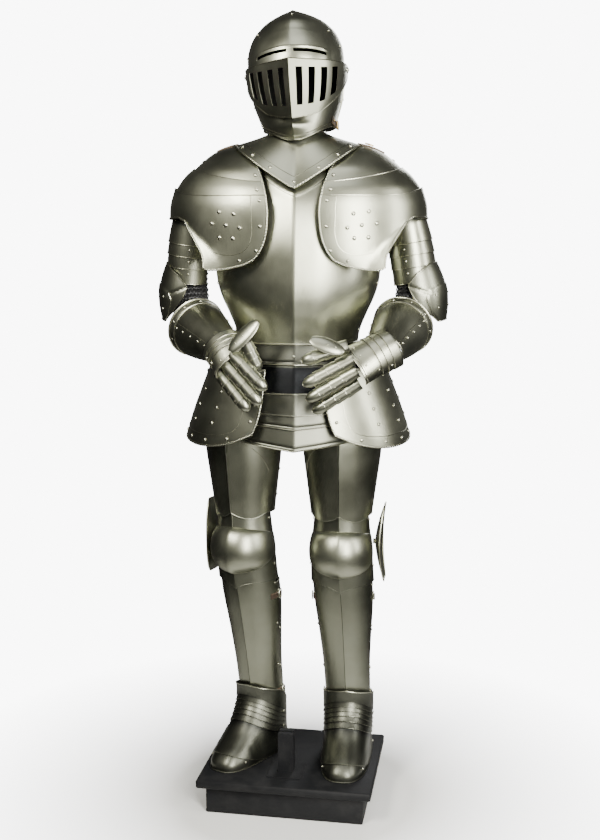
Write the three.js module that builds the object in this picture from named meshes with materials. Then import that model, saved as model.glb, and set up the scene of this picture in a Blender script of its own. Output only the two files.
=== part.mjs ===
// Suit of plate armour standing on a black plinth, worn form with no wearer.
// Millimetres, +Z up, the suit faces -Y, origin in the middle of the plinth's underside.
// Sides are the wearer's own: "_l" is at +X and "_r" at -X.
import * as THREE from "three";

// Driving dimensions
const PLINTH = { width: 424, depth: 342, height: 89, board: 20, inset: 20 };
const FIGURE_X = 15; // the figure's middle plane, measured from the plinth's middle
const WALL = 1.6; // steel plate
const MAIL_WALL = 2; // mail on its cloth backing
const STEP = 3.4; // how far each overlapping plate stands outside its neighbour
const TORSO = { x: -4.5, yaw: 5.7 }; // the trunk turns a little to the suit's left
const HELMET = { yaw: 3, roll: -3.2, pivotY: 8, pivotZ: 1762, rimZ: 1600, top: 1904 };
const SEAM = 0.4; // degrees that each half of a front and back pair stops short of the side
const BROW_HALF = 52; // degrees that the brow plate reaches to each side
const BOSS = { radius: 8, inner: 118.3, outer: 121.6 };
const REST = { width: 37, depth: 34, height: 101, x: -20, y: -80, slot: 10, drop: 60 };

const ARM = {
  l: {
    shoulder: [246, 28, 1440], elbow: [279, 38, 1236], rim: [242, -26, 1174],
    wrist: [214, -160, 1130], knuckle: [150, -195, 1098],
  },
  r: {
    shoulder: [-256, -18, 1440], elbow: [-279, 12, 1238], rim: [-243, -37, 1172],
    wrist: [-146, -156, 1130], knuckle: [-112, -190, 1098],
  },
};
const LEG = {
  l: { hip: [102, 10], knee: [101, 20], ankle: [114, 70], yaw: 2.5, footYaw: 2 },
  r: { hip: [-142, 10], knee: [-137, 20], ankle: [-109, 66], yaw: -15, footYaw: -22 },
};
const FINGERS = {
  l: {
    index: [[131, -200, 1143], [42, -214, 1112]],
    middle: [[143, -204, 1114], [46, -218, 1060]],
    ring: [[151, -201, 1085], [52, -212, 1026]],
    little: [[156, -190, 1057], [64, -196, 998]],
  },
  r: {
    index: [[-84, -214, 1146], [-62, -190, 1088]],
    middle: [[-112, -202, 1118], [-41, -214, 1048]],
    ring: [[-130, -195, 1095], [-54, -209, 1014]],
    little: [[-147, -184, 1072], [-84, -199, 999]],
  },
};
const THUMB = {
  l: [[126, -226, 1138], [66, -232, 1160]],
  r: [[-112, -222, 1140], [-62, -214, 1196]],
};

const STEEL = { color: 0xa7a79a, roughness: 0.32, metalness: 1 };
const MAIL = { color: 0x17181a, roughness: 0.75, metalness: 0.2 };
const BLACK = { color: 0x14161a, roughness: 0.6, metalness: 0 };

const rad = THREE.MathUtils.degToRad;
const mix = THREE.MathUtils.lerp;
const point = (x, y, z) => new THREE.Vector3(x, y, z);

const suit = new THREE.Group();
const figure = new THREE.Group();
figure.position.x = FIGURE_X;
suit.add(figure);
const torso = new THREE.Group();
torso.position.x = TORSO.x;
torso.rotation.z = rad(TORSO.yaw);
figure.add(torso);
const helmet = new THREE.Group();
helmet.position.set(0, 0, HELMET.rimZ);
helmet.rotation.set(0, rad(HELMET.roll), rad(HELMET.yaw), "ZYX");
figure.add(helmet);

function addMesh(name, positions, index, look, parent) {
  const geometry = new THREE.BufferGeometry();
  geometry.setAttribute("position", new THREE.Float32BufferAttribute(positions, 3));
  geometry.setIndex(index);
  geometry.computeVertexNormals();
  const mesh = new THREE.Mesh(geometry, new THREE.MeshStandardMaterial(look));
  mesh.name = name;
  parent.add(mesh);
  return mesh;
}

// A value read from hand-placed stops [at, value, value...], on a smooth curve through them.
function along(stops, at) {
  const last = stops.length - 1;
  if (at <= stops[0][0]) return stops[0].slice(1);
  if (at >= stops[last][0]) return stops[last].slice(1);
  let i = 0;
  while (at > stops[i + 1][0]) i += 1;
  const [p, q] = [stops[i], stops[i + 1]];
  const before = stops[Math.max(i - 1, 0)];
  const after = stops[Math.min(i + 2, last)];
  const span = q[0] - p[0];
  const t = (at - p[0]) / span;
  return p.slice(1).map((value, k) => {
    const next = q[k + 1];
    const rise = (next - before[k + 1]) / (q[0] - before[0]);
    const fall = (after[k + 1] - value) / (after[0] - p[0]);
    const chord = next - value;
    return value + t * chord + t * (1 - t) * ((1 - t) * (rise * span - chord) + t * (chord - fall * span));
  });
}

// A value read from stops joined by straight lines.
function steps(stops, at) {
  let i = 0;
  while (i < stops.length - 2 && at > stops[i + 1][0]) i += 1;
  const [p, q] = [stops[i], stops[i + 1]];
  const t = THREE.MathUtils.clamp((at - p[0]) / (q[0] - p[0]), 0, 1);
  return mix(p[1], q[1], t);
}

// A hollow form from level sections. Each row: height, middle x, middle y, half width, front depth,
// back depth, ridge depth, squareness. The ridge is a crease down the front with flat flanks, and
// angle 0 looks to the front (-Y), 90 degrees to +X.
function form(rows) {
  return (angle, z, out = 0) => {
    const [x0, y0, width, front, back, ridge = front, square = 2] = along(rows, z);
    const s = Math.sin(angle);
    const c = Math.cos(angle);
    const power = 2 / square;
    const x = Math.sign(s) * Math.abs(s) ** power * (width + out);
    let y = Math.abs(c) ** power * ((c > 0 ? front : back) + out);
    if (c > 0 && ridge > front) {
      const touch = Math.acos(front / ridge);
      const reach = Math.sin(touch) * (width + out);
      const flank = Math.cos(touch) * (front + out);
      if (Math.abs(x) < reach) y = mix(ridge + out, flank, Math.abs(x) / reach);
    }
    return point(x0 + x, y0 - Math.sign(c) * y, z);
  };
}

// Turns an outer skin into a plate with a wall: merges shared points, sets the inner skin back
// along the normals and closes every edge.
function thicken(name, points, faces, wall, look, parent) {
  const known = new Map();
  const skin = [];
  const ids = points.map((p) => {
    const key = [p.x, p.y, p.z].map((v) => Math.round(v * 200)).join();
    if (!known.has(key)) known.set(key, skin.push(p) - 1);
    return known.get(key);
  });
  const outer = faces.map((f) => f.map((i) => ids[i])).filter(([a, b, c]) => a !== b && b !== c && c !== a);
  const normals = skin.map(() => point(0, 0, 0));
  const edges = new Set();
  for (const [a, b, c] of outer) {
    const ab = skin[b].clone().sub(skin[a]);
    const normal = ab.cross(skin[c].clone().sub(skin[a]));
    for (const [i, j] of [[a, b], [b, c], [c, a]]) {
      normals[i].add(normal);
      edges.add(`${i},${j}`);
    }
  }
  const inner = skin.map((p, i) => p.clone().addScaledVector(normals[i].normalize(), -wall));
  const n = skin.length;
  const index = [];
  for (const [a, b, c] of outer) index.push(a, b, c, a + n, c + n, b + n);
  for (const edge of edges) {
    const [a, b] = edge.split(",").map(Number);
    if (!edges.has(`${b},${a}`)) index.push(b, a, a + n, b, a + n, b + n);
  }
  return addMesh(name, [...skin, ...inner].flatMap((p) => p.toArray()), index, look, parent);
}

// A plate from a surface over s (across, 0 to 1) and t (upwards, 0 to 1).
// A cell is left open where hole(s, t) says so.
function plate(name, surface, across, up, { parent = figure, wall = WALL, look = STEEL, hole } = {}) {
  const columns = Array.isArray(across) ? across : Array.from({ length: across + 1 }, (_, i) => i / across);
  const levels = Array.isArray(up) ? up : Array.from({ length: up + 1 }, (_, j) => j / up);
  const points = levels.flatMap((t) => columns.map((s) => surface(s, t)));
  const faces = [];
  for (let j = 0; j < levels.length - 1; j += 1) {
    for (let i = 0; i < columns.length - 1; i += 1) {
      const middle = [(columns[i] + columns[i + 1]) / 2, (levels[j] + levels[j + 1]) / 2];
      if (hole && hole(...middle)) continue;
      const a = j * columns.length + i;
      const d = a + columns.length;
      faces.push([a, a + 1, d + 1], [a, d + 1, d]);
    }
  }
  return thicken(name, points, faces, wall, look, parent);
}

// A surface on a form between two angles and between a lower and an upper edge.
function band(shape, from, to, low, high, out = 0) {
  return (s, t) => {
    const angle = rad(mix(from, to, s));
    const bottom = typeof low === "function" ? low(mix(from, to, s)) : low;
    const top = typeof high === "function" ? high(mix(from, to, s)) : high;
    return shape(angle, mix(bottom, top, t), out);
  };
}

// A group whose local +Z runs from one point towards another and whose local -Y faces "front".
function aimed(origin, towards, front) {
  const up = point(...towards).sub(point(...origin)).normalize();
  const back = point(...front).negate();
  back.addScaledVector(up, -back.dot(up)).normalize();
  const group = new THREE.Group();
  group.matrix.makeBasis(back.clone().cross(up), back, up).setPosition(...origin);
  group.matrix.decompose(group.position, group.quaternion, group.scale);
  figure.add(group);
  return group;
}

// Helmet: a blunt pointed skull, a brow plate with the sights, a slotted visor and a bevor.
const DROP = HELMET.rimZ; // helmet rows are heights above the floor, drawn from the rim
const onHelmet = (shape) => (s, t) => shape(s, t).setZ(shape(s, t).z - DROP);
const skullForm = form([
  [1600, 0, 8, 70, 106, 74, 0, 2], [1632, 0, 8, 82, 112, 92, 0, 2], [1662, 0, 8, 94, 113, 106, 0, 2],
  [1700, 0, 8, 106, 113, 121, 0, 2], [1740, 0, 8, 111, 114, 130, 0, 2], [1773, 0, 8, 112, 114, 132, 0, 2],
  [1796, 0, 8, 112, 110, 131, 0, 1.9], [1820, 0, 8, 108, 100, 124, 0, 1.75], [1848, 0, 8, 95, 83, 106, 0, 1.6],
  [1868, 0, 8, 76, 71, 91, 0, 1.6], [1880, 0, 8, 59, 57, 74, 0, 1.6], [1892, 0, 8, 34, 36, 50, 0, 1.6],
  [1899, 0, 8, 15, 19, 34, 0, 1.6], [1904, 0, 8, 0, 8, 20, 0, 1.6],
]);
const visorForm = form([
  [1640, 0, 8, 88, 114, 100, 135], [1700, 0, 8, 109, 121, 120, 147],
  [1745, 0, 8, 117.4, 123.4, 130, 152], [1780, 0, 8, 118.4, 124, 130, 153],
]);
const bevorForm = form([
  [1596, 0, 8, 69, 106, 74, 112], [1612, 0, 8, 74, 112, 80, 124], [1632, 0, 8, 82, 112, 92, 134],
  [1645, 0, 8, 86, 109, 98, 120], [1662, 0, 8, 92, 108, 106, 110], [1700, 0, 8, 104, 112, 121],
  [1760, 0, 8, 112.4, 114, 132],
]);

function makeHelmet() {
  const rim = (angle) => 1635 - 34 * Math.max(0, Math.cos(rad(angle))) ** 2.5;
  const skullEdge = (angle) => {
    const turn = Math.abs(angle);
    return steps([[0, 1838], [44, 1838], [50, 1776], [91, 1766], [92, rim(92)], [180, rim(180)]], turn);
  };
  const half = [0, 14, 28, 44, 50, 60, 72, 91, 92, 110, 130, 155, 180];
  const columns = [...half.slice(1).reverse().map((a) => -a), ...half];
  plate("skull", onHelmet((s, t) => skullForm(rad(s), mix(skullEdge(s), HELMET.top, t))),
    columns, [0, 0.2, 0.4, 0.57, 0.72, 0.84, 0.93, 0.98, 1], { parent: helmet });

  const browTop = (angle) => 1866 - 15 * (angle / BROW_HALF) ** 2;
  const browLow = (angle) => steps([[0, 1757], [44, 1760], [BROW_HALF, 1768]], Math.abs(angle));
  const browHalf = [4, 14, 28, 42, 46, BROW_HALF];
  const sight = (angle, t) => t > 0.28 && t < 0.34 && Math.abs(angle) > 4 && Math.abs(angle) < 42;
  const brow = (angle, t) => {
    const p = skullForm(rad(angle), mix(browLow(angle), browTop(angle), t), 3);
    return p.setZ(p.z + 2 * t);
  };
  plate("brow_plate", onHelmet(brow), [...browHalf.map((a) => -a).reverse(), 0, ...browHalf],
    [0, 0.28, 0.34, 0.48, 0.62, 0.76, 0.88, 1], { parent: helmet, hole: sight });

  const visorLow = (angle) => steps([[0, 1646], [20, 1652], [40, 1662], [60, 1690], [94, 1748]], Math.abs(angle));
  const slots = [[7.4, 13.2], [20.7, 26.8], [35.2, 42], [50.6, 58.5]];
  const visorAngles = [94, 76, ...slots.flat().reverse()].map((a) => -a);
  const visorColumns = [...visorAngles, 0, ...visorAngles.map((a) => -a).reverse()];
  const slotted = (s, t) => {
    const turn = Math.abs(s);
    return t > 0.2 && t < 0.86 && slots.some(([a, b]) => turn > a && turn < b);
  };
  plate("visor", onHelmet((s, t) => visorForm(rad(s), mix(visorLow(s), 1772, t))),
    visorColumns, [0, 0.2, 0.86, 1], { parent: helmet, hole: slotted });

  const bevorTop = (angle) => steps([[0, 1672], [40, 1700], [70, 1748], [89, 1756]], Math.abs(angle));
  plate("bevor", onHelmet(band(bevorForm, -89, 89, rim, bevorTop)), 14,
    [0, 0.18, 0.42, 0.6, 1], { parent: helmet });

  for (const [side, sign] of [["l", 1], ["r", -1]]) {
    const length = BOSS.outer - BOSS.inner;
    const geometry = new THREE.CylinderGeometry(BOSS.radius, BOSS.radius, length, 12);
    geometry.rotateZ(Math.PI / 2);
    const boss = new THREE.Mesh(geometry, new THREE.MeshStandardMaterial(STEEL));
    boss.name = `visor_pivot_${side}`;
    boss.position.set(sign * (BOSS.inner + length / 2), HELMET.pivotY, HELMET.pivotZ - DROP);
    helmet.add(boss);
  }
}

// Gorget: a flared collar in a front and a back plate, pointed at the breast.
function makeGorget() {
  const collar = (angle, t) => {
    const side = Math.sin(angle);
    const front = Math.cos(angle);
    const spread = t ** 1.2;
    const top = 1629 - 8 * Math.max(0, front) + 4 * Math.max(0, -front);
    const low = 1598 - (front > 0 ? 105 : 88) * (1 - Math.abs(side) ** 1.15);
    const depth = front > 0 ? mix(80, 140, spread) : mix(70, 120, spread);
    return point(side * mix(63, 149, spread), -front * depth, mix(top, low, t ** 0.9));
  };
  plate("gorget_front", (s, t) => collar(rad(mix(-90 + SEAM, 90 - SEAM, s)), 1 - t), 12, 4, { parent: torso });
  plate("gorget_back", (s, t) => collar(rad(mix(90 + SEAM, 270 - SEAM, s)), 1 - t), 10, 3, { parent: torso });
}

// Trunk: breastplate with a medial ridge, backplate, the fauld's hoops and the culet behind.
const trunkForm = form([
  [880, 0, 0, 212, 170, 156, 176], [901, 0, 0, 209, 168, 154, 174], [949, 0, 0, 197, 161, 148, 166],
  [979, 0, 0, 188, 156, 142, 161], [1029, 0, 0, 173, 149, 132, 153], [1079, 0, 0, 158, 140, 120, 144],
  [1112, 0, 0, 149, 132, 112, 136], [1140, 0, 0, 144, 127, 108, 131], [1170, 0, 0, 148, 131, 110, 135],
  [1210, 0, 0, 164, 140, 114, 144], [1250, 0, 0, 182, 147, 117, 151], [1291, 0, 0, 193, 150, 119, 154],
  [1350, 0, 0, 196, 149, 119, 153], [1400, 0, 0, 190, 143, 117, 147], [1440, 0, 0, 180, 134, 112, 138],
  [1480, 0, 0, 164, 121, 106, 125], [1530, 0, 0, 140, 98, 96, 102],
]);

function makeTrunk() {
  const waist = 1142;
  const breastTop = (angle) => steps([[0, 1508], [30, 1514], [46, 1524], [64, 1410], [90, 1300]], Math.abs(angle));
  plate("breastplate", band(trunkForm, -90 + SEAM, 90 - SEAM, waist, breastTop), 16, 6, { parent: torso });
  const backTop = (angle) => steps([[0, 1530], [46, 1526], [64, 1410], [90, 1300]], Math.abs(angle - 180));
  plate("backplate", band(trunkForm, 90 + SEAM, 270 - SEAM, waist, backTop), 12, 4, { parent: torso });

  // Each hoop: lower and upper edge at the middle, and how far it stands out.
  const hoops = [
    [1096, 1139, 0], [1079, 1106, -STEP], [1030, 1090, 0],
    [980, 1042, -STEP], [948, 992, -2 * STEP], [899, 960, -3 * STEP],
  ];
  hoops.forEach(([low, high, out], i) => {
    const lift = (angle) => (i < 3 ? 0 : (i - 2) * 0.15 * Math.abs(angle));
    const surface = band(trunkForm, -88, 88, (a) => low + lift(a), (a) => high + lift(a), out);
    plate(`fauld_${i + 1}`, surface, 12, 1, { parent: torso });
  });
  const culet = [[1040, 1139, 0], [950, 1052, -STEP]];
  culet.forEach(([low, high, out], i) => {
    plate(`culet_${i + 1}`, band(trunkForm, 92, 268, low, high, out), 10, 2, { parent: torso });
  });
}

// Tassets: broad plates over the hips, hung from the fauld.
const tassetForm = form([
  [900, 0, 0, 272, 176, 150], [930, 0, 0, 267, 174, 150], [985, 0, 0, 250, 169, 146],
  [1030, 0, 0, 233, 163, 140], [1085, 0, 0, 212, 155, 130],
]);

function makeTassets() {
  const low = (s) => steps([[0, 938], [0.1, 918], [0.25, 906], [0.45, 904], [0.8, 916], [1, 935]], s);
  for (const [side, sign] of [["l", 1], ["r", -1]]) {
    plate(`tasset_${side}`, (s, t) => {
      const across = sign > 0 ? s : 1 - s;
      const z = mix(low(across), 1084, t);
      const inner = steps([[904, 27], [940, 21], [1000, 18], [1084, 18]], z);
      return tassetForm(sign * rad(mix(inner, 100, across)), z);
    }, 10, 4, { parent: torso });
  }
}

// Pauldrons: shoulder cap, one lame and a main plate with wings over breast and back.
const pauldronForm = form([
  [1296, 136, 0, 164, 148, 116], [1321, 104, 0, 198, 154, 122], [1345, 80, 0, 222, 158, 126],
  [1380, 64, 0, 240, 160, 128], [1432, 58, 0, 246, 160, 128], [1462, 60, 0, 242, 157, 126],
  [1487, 64, 0, 231, 149, 121], [1504, 68, 0, 221, 141, 116], [1530, 77, 0, 193, 124, 104],
  [1543, 84, 0, 172, 112, 96], [1562, 95, 0, 134, 86, 78], [1580, 106, 0, 90, 55, 52],
  [1590, 118, 0, 46, 26, 26], [1594, 130, 0, 11, 2, 2],
]);

function makePauldrons() {
  const wing = [[0, 1332], [0.015, 1322], [0.05, 1315], [0.115, 1309], [0.135, 1314], [0.29, 1421], [0.33, 1430],
    [0.67, 1430], [0.74, 1410], [0.93, 1312], [0.985, 1316], [1, 1328]];
  const columns = [0, 0.015, 0.07, 0.14, 0.21, 0.285, 0.33, 0.42, 0.5, 0.58, 0.67, 0.74, 0.84, 0.93, 0.985, 1];
  const seamMain = (angle) => 1476 + 25 * Math.sin(angle) ** 6;
  const seamCap = (angle) => 1500 + 39 * Math.max(0, Math.sin(angle)) ** 1.5;
  const lap = 10;
  const plates = [
    ["main", (angle, across) => steps(wing, across), seamMain, 0, 5],
    ["lame", (angle) => seamMain(angle) - lap, (angle) => seamCap(angle) + lap, -STEP, 3],
    ["cap", seamCap, () => 1593, -2 * STEP, 5],
  ];
  for (const [side, sign] of [["l", 1], ["r", -1]]) {
    for (const [name, low, high, out, rows] of plates) {
      plate(`pauldron_${name}_${side}`, (s, t) => {
        const across = sign > 0 ? s : 1 - s;
        const angle = Math.PI * across;
        const p = pauldronForm(angle, mix(low(angle, across), high(angle), t), out);
        return point(sign * p.x, p.y, p.z + out);
      }, sign > 0 ? columns : columns.map((s) => 1 - s).reverse(), rows, { parent: torso });
    }
  }
}

// Arms: mail sleeve, laminated rerebrace, couter and a bell gauntlet with jointed fingers.
const upperArmForm = form([
  [0, 0, 0, 50, 50, 50], [60, 0, 0, 51.5, 51.5, 51.5], [130, 0, 0, 52, 52, 52], [205, 0, 0, 43, 43, 43],
]);
const couterForm = form([
  [-52, 0, 0, 58, 58, 58], [-14, 0, 0, 67, 67, 67], [26, 0, 0, 70, 70, 70], [66, 0, 0, 63, 63, 63],
  [88, 0, 0, 56, 56, 56],
]);
const cuffForm = form([
  [0, 0, 0, 45, 39, 39], [20, 0, 0, 46, 41, 41], [60, 0, 0, 53, 50, 50], [110, 0, 0, 63, 62, 62],
  [165, 0, 0, 71, 70, 70],
]);

function makeArm(side, sign) {
  const { shoulder, elbow, rim, wrist, knuckle } = ARM[side];
  const outward = [sign, -0.35, 0];
  const upper = aimed(elbow, shoulder, outward);
  const open = 138;
  plate(`rerebrace_${side}`, band(upperArmForm, -open, open, 48, 196), 10, 4, { parent: upper });

  const sleevePath = new THREE.CatmullRomCurve3([
    point(...shoulder).lerp(point(...elbow), -0.05), point(...shoulder).lerp(point(...elbow), 0.4),
    point(...shoulder).lerp(point(...elbow), 0.8), point(...elbow).lerp(point(...rim), 0.55),
    point(...rim).lerp(point(...wrist), 0.3),
  ]);
  const reference = point(1, 0, 0);
  plate(`mail_sleeve_${side}`, (s, t) => {
    const centre = sleevePath.getPoint(t);
    const tangent = sleevePath.getTangent(t);
    const first = reference.clone().addScaledVector(tangent, -reference.dot(tangent)).normalize();
    const second = tangent.clone().cross(first);
    const [radius] = along([[0, 36], [0.3, 43], [0.55, 43], [1, 36]], t);
    const turn = 2 * Math.PI * s;
    return centre.addScaledVector(first, Math.cos(turn) * radius).addScaledVector(second, Math.sin(turn) * radius);
  }, 12, 9, { wall: MAIL_WALL, look: MAIL });

  // The couter is a shell-shaped cap, round the outside of the elbow.
  const reach = [[-50, 26], [-24, 52], [16, 74], [44, 82], [68, 60], [86, 22]];
  plate(`couter_${side}`, (s, t) => {
    const z = mix(-50, 86, t);
    const wrap = steps(reach, z);
    return couterForm(rad(mix(-wrap, wrap, s)), z);
  }, 8, 7, { parent: upper });

  const forearm = aimed(wrist, rim, [0, -0.6, 1]);
  plate(`gauntlet_cuff_${side}`, band(cuffForm, -180, 180, 0, 165), 14, 5, { parent: forearm });
  makeHand(side, sign, wrist, knuckle);
}

// A gutter-shaped plate between two points, open underneath: half width, height, and "top" faces out.
// A finger is cut into four overlapping lames and has a closed tip.
function gutter(name, start, end, top, [startWidth, endWidth], [startRise, endRise], finger) {
  const group = aimed(start, end, top);
  const length = point(...start).distanceTo(point(...end));
  plate(name, (s, t) => {
    const angle = rad(mix(-90, 90, s));
    const reached = finger ? Math.min(t / 0.86, 1) : t;
    const shrink = finger && t > 0.86 ? 0.55 : 1;
    const overlap = finger ? 1.4 * ((reached * 4) % 1) : 0;
    const width = (mix(startWidth, endWidth, reached) + overlap) * shrink;
    const rise = (mix(startRise, endRise, reached) + overlap) * shrink;
    return point(Math.sin(angle) * width, -Math.cos(angle) * rise, t * length);
  }, 6, finger ? [0, 0.24, 0.245, 0.49, 0.495, 0.74, 0.745, 0.86, 1] : 3, { parent: group });
}

function makeHand(side, sign, wrist, knuckle) {
  const back = [0.05 * sign, -0.8, 0.6];
  const from = point(...wrist).lerp(point(...knuckle), 0.3).toArray();
  const to = point(...wrist).lerp(point(...knuckle), 0.82).toArray();
  gutter(`hand_plate_${side}`, from, to, back, [40, 46], [29, 25], false);
  for (const [name, [base, tip]] of Object.entries(FINGERS[side])) {
    gutter(`finger_${name}_${side}`, base, tip, back, [12, 10.5], [12, 10.5], true);
  }
  gutter(`thumb_${side}`, THUMB[side][0], THUMB[side][1], back, [11, 12], [9, 7], false);
}

// Legs: cuisse, poleyn with its side wing, greave in two halves and sabaton.
function makeLeg(side, sign) {
  const { hip, knee, ankle, yaw, footYaw } = LEG[side];
  const leg = (levels) => {
    const shape = form(levels.map(([z, ...row]) => [z, 0, 0, ...row]));
    const turn = rad(yaw);
    return (angle, z, out) => {
      const p = shape(angle, z, out);
      const [x, y] = along([[215, ...ankle], [440, mix(ankle[0], knee[0], 0.5), mix(ankle[1], knee[1], 0.62)],
        [620, ...knee], [900, ...hip]], z);
      return point(x + p.x * Math.cos(turn) - p.y * Math.sin(turn), y + p.x * Math.sin(turn) + p.y * Math.cos(turn), z);
    };
  };
  const thigh = leg([[700, 72, 70, 64, 76], [800, 85, 80, 76, 86], [880, 95, 88, 84, 94], [930, 97, 90, 86, 96]]);
  const cuisseLow = (angle) => 724 - 12 * Math.sin(rad(Math.min(Math.abs(angle) * 2.6, 180))) + 4 * Math.exp(-Math.abs(angle) / 6);
  const cuisseTop = (angle) => 926 - 34 * Math.exp(-(((angle + sign * 80) / 50) ** 2));
  plate(`cuisse_${side}`, band(thigh, -125, 125, cuisseLow, cuisseTop), 16, 3);

  // The poleyn's ball bulges between a lower and an upper edge that both run up or down to its sides.
  const kneeForm = leg([
    [530, 79, 73, 70, 78.5], [574, 78, 74, 66, 79.5], [632, 76, 76, 66], [690, 70, 69, 64, 72], [735, 66, 65, 60, 71],
  ]);
  const ball = (angle, z) => {
    const front = Math.cos(rad(angle));
    const low = 574 + 42 * (1 - front);
    const high = 690 - 20 * (1 - front);
    const height = THREE.MathUtils.clamp((2 * z - low - high) / (high - low), -1, 1);
    return (1 + 30 * Math.max(0, front) ** 1.5) * Math.sqrt(1 - height * height);
  };
  const kneeLow = (angle) => 534 + 18 * (1 - Math.exp(-Math.abs(angle) / 16));
  plate(`poleyn_${side}`, (s, t) => {
    const angle = mix(-96, 96, s);
    const z = mix(kneeLow(angle), 735, t);
    return kneeForm(rad(angle), z, ball(angle, z));
  }, 14, [0, 0.18, 0.23, 0.3, 0.4, 0.5, 0.6, 0.7, 0.76, 0.8, 1]);

  const wingX = sign * (side === "l" ? 92 : 84);
  const turn = rad(yaw);
  plate(`knee_wing_${side}`, (s, t) => {
    const across = sign > 0 ? s : 1 - s;
    const height = mix(-1, 1, t);
    const reach = 56 * Math.sqrt(1 - 0.82 * height * height);
    const depth = mix(-reach, reach, across) + 6;
    const dish = Math.max(0, 1 - Math.hypot((depth - 6) / 56, height));
    const bow = 13 * height * height + 5 * (depth / 56) ** 2 - (Math.abs(wingX) - 82.5) * dish;
    const p = point(wingX + sign * bow, depth, 650 + 93 * height);
    return point(knee[0] + p.x * Math.cos(turn) - p.y * Math.sin(turn),
      knee[1] + p.x * Math.sin(turn) + p.y * Math.cos(turn), p.z);
  }, 6, 8);

  const shin = leg([
    [212, 56, 55, 54, 58], [260, 57, 56, 55, 59], [330, 59, 58, 60, 61], [410, 65, 61, 69, 65],
    [500, 73, 66, 76, 70], [560, 73, 67, 70, 71], [600, 68, 62, 60, 66],
  ]);
  plate(`greave_front_${side}`, band(shin, -89.6, 89.6, 214, 566), 10, 5);
  plate(`greave_back_${side}`, band(shin, 90.4, 269.6, 214, 540), 10, 5);

  const foot = new THREE.Group();
  foot.position.set(ankle[0], ankle[1], 0);
  foot.rotation.z = rad(footYaw);
  figure.add(foot);
  const shoe = form([
    [89.4, 0, 0, 60, 196, 62, 196, 2.9], [104, 0, 0, 61, 196, 63, 196, 2.9], [118, 0, 0, 60, 187, 63, 187, 2.7],
    [131, 0, 0, 59, 172, 62, 172, 2.5], [146, 0, 0, 60, 148, 62, 148, 2.3], [164, 0, 0, 61, 122, 62, 122, 2.2],
    [190, 0, 0, 61.5, 96, 62, 96, 2.1], [215, 0, 0, 62, 79, 61, 79, 2], [245, 0, -5, 62, 66, 61, 66, 2],
    [275, 0, -10, 63, 63, 62, 63, 2],
  ]);
  const shoeTop = (angle) => steps([[0, 272], [50, 262], [85, 250], [104, 240], [124, 210], [180, 208]], Math.abs(angle));
  plate(`sabaton_${side}`, band(shoe, -180, 180, 89.4, shoeTop), 20,
    [0, 0.08, 0.16, 0.24, 0.33, 0.44, 0.6, 0.8, 1], { parent: foot });
}

// Plinth: a board with a lip over a lower box, in one piece, and the sword rest's slotted block.
function makePlinth() {
  const outline = (half, depth) => [[-half, -depth], [half, -depth], [half, depth], [-half, depth]];
  const lipX = PLINTH.width / 2;
  const lipY = PLINTH.depth / 2;
  const under = PLINTH.height - PLINTH.board;
  const rings = [
    [lipX - PLINTH.inset, lipY - PLINTH.inset, 0], [lipX - PLINTH.inset, lipY - PLINTH.inset, under],
    [lipX, lipY, under], [lipX, lipY, PLINTH.height],
  ];
  const positions = rings.flatMap(([x, y, z]) => outline(x, y).flatMap(([px, py]) => [px, py, z]));
  const index = [0, 2, 1, 0, 3, 2];
  const last = (rings.length - 1) * 4;
  index.push(last, last + 1, last + 2, last, last + 2, last + 3);
  for (let ring = 0; ring < rings.length - 1; ring += 1) {
    for (let i = 0; i < 4; i += 1) {
      const a = ring * 4 + i;
      const b = ring * 4 + ((i + 1) % 4);
      index.push(a, b, b + 4, a, b + 4, a + 4);
    }
  }
  addMesh("plinth", positions, index, BLACK, suit);

  const { width, depth, height, slot, drop } = REST;
  const cheek = (depth - slot) / 2;
  const profile = new THREE.Shape([
    [0, 0], [depth, 0], [depth, height], [depth - cheek, height], [depth - cheek, height - drop],
    [cheek, height - drop], [cheek, height], [0, height],
  ].map(([y, z]) => new THREE.Vector2(y, z)));
  const geometry = new THREE.ExtrudeGeometry(profile, { depth: width, bevelEnabled: false });
  geometry.rotateX(Math.PI / 2);
  geometry.rotateZ(Math.PI / 2);
  const block = new THREE.Mesh(geometry, new THREE.MeshStandardMaterial(BLACK));
  block.name = "sword_rest";
  block.position.set(REST.x - width / 2, REST.y - depth / 2, PLINTH.height + 0.3);
  figure.add(block);
}

makeHelmet();
makeGorget();
makeTrunk();
makeTassets();
makePauldrons();
for (const [side, sign] of [["l", 1], ["r", -1]]) {
  makeArm(side, sign);
  makeLeg(side, sign);
}
makePlinth();

export default suit;
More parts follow.
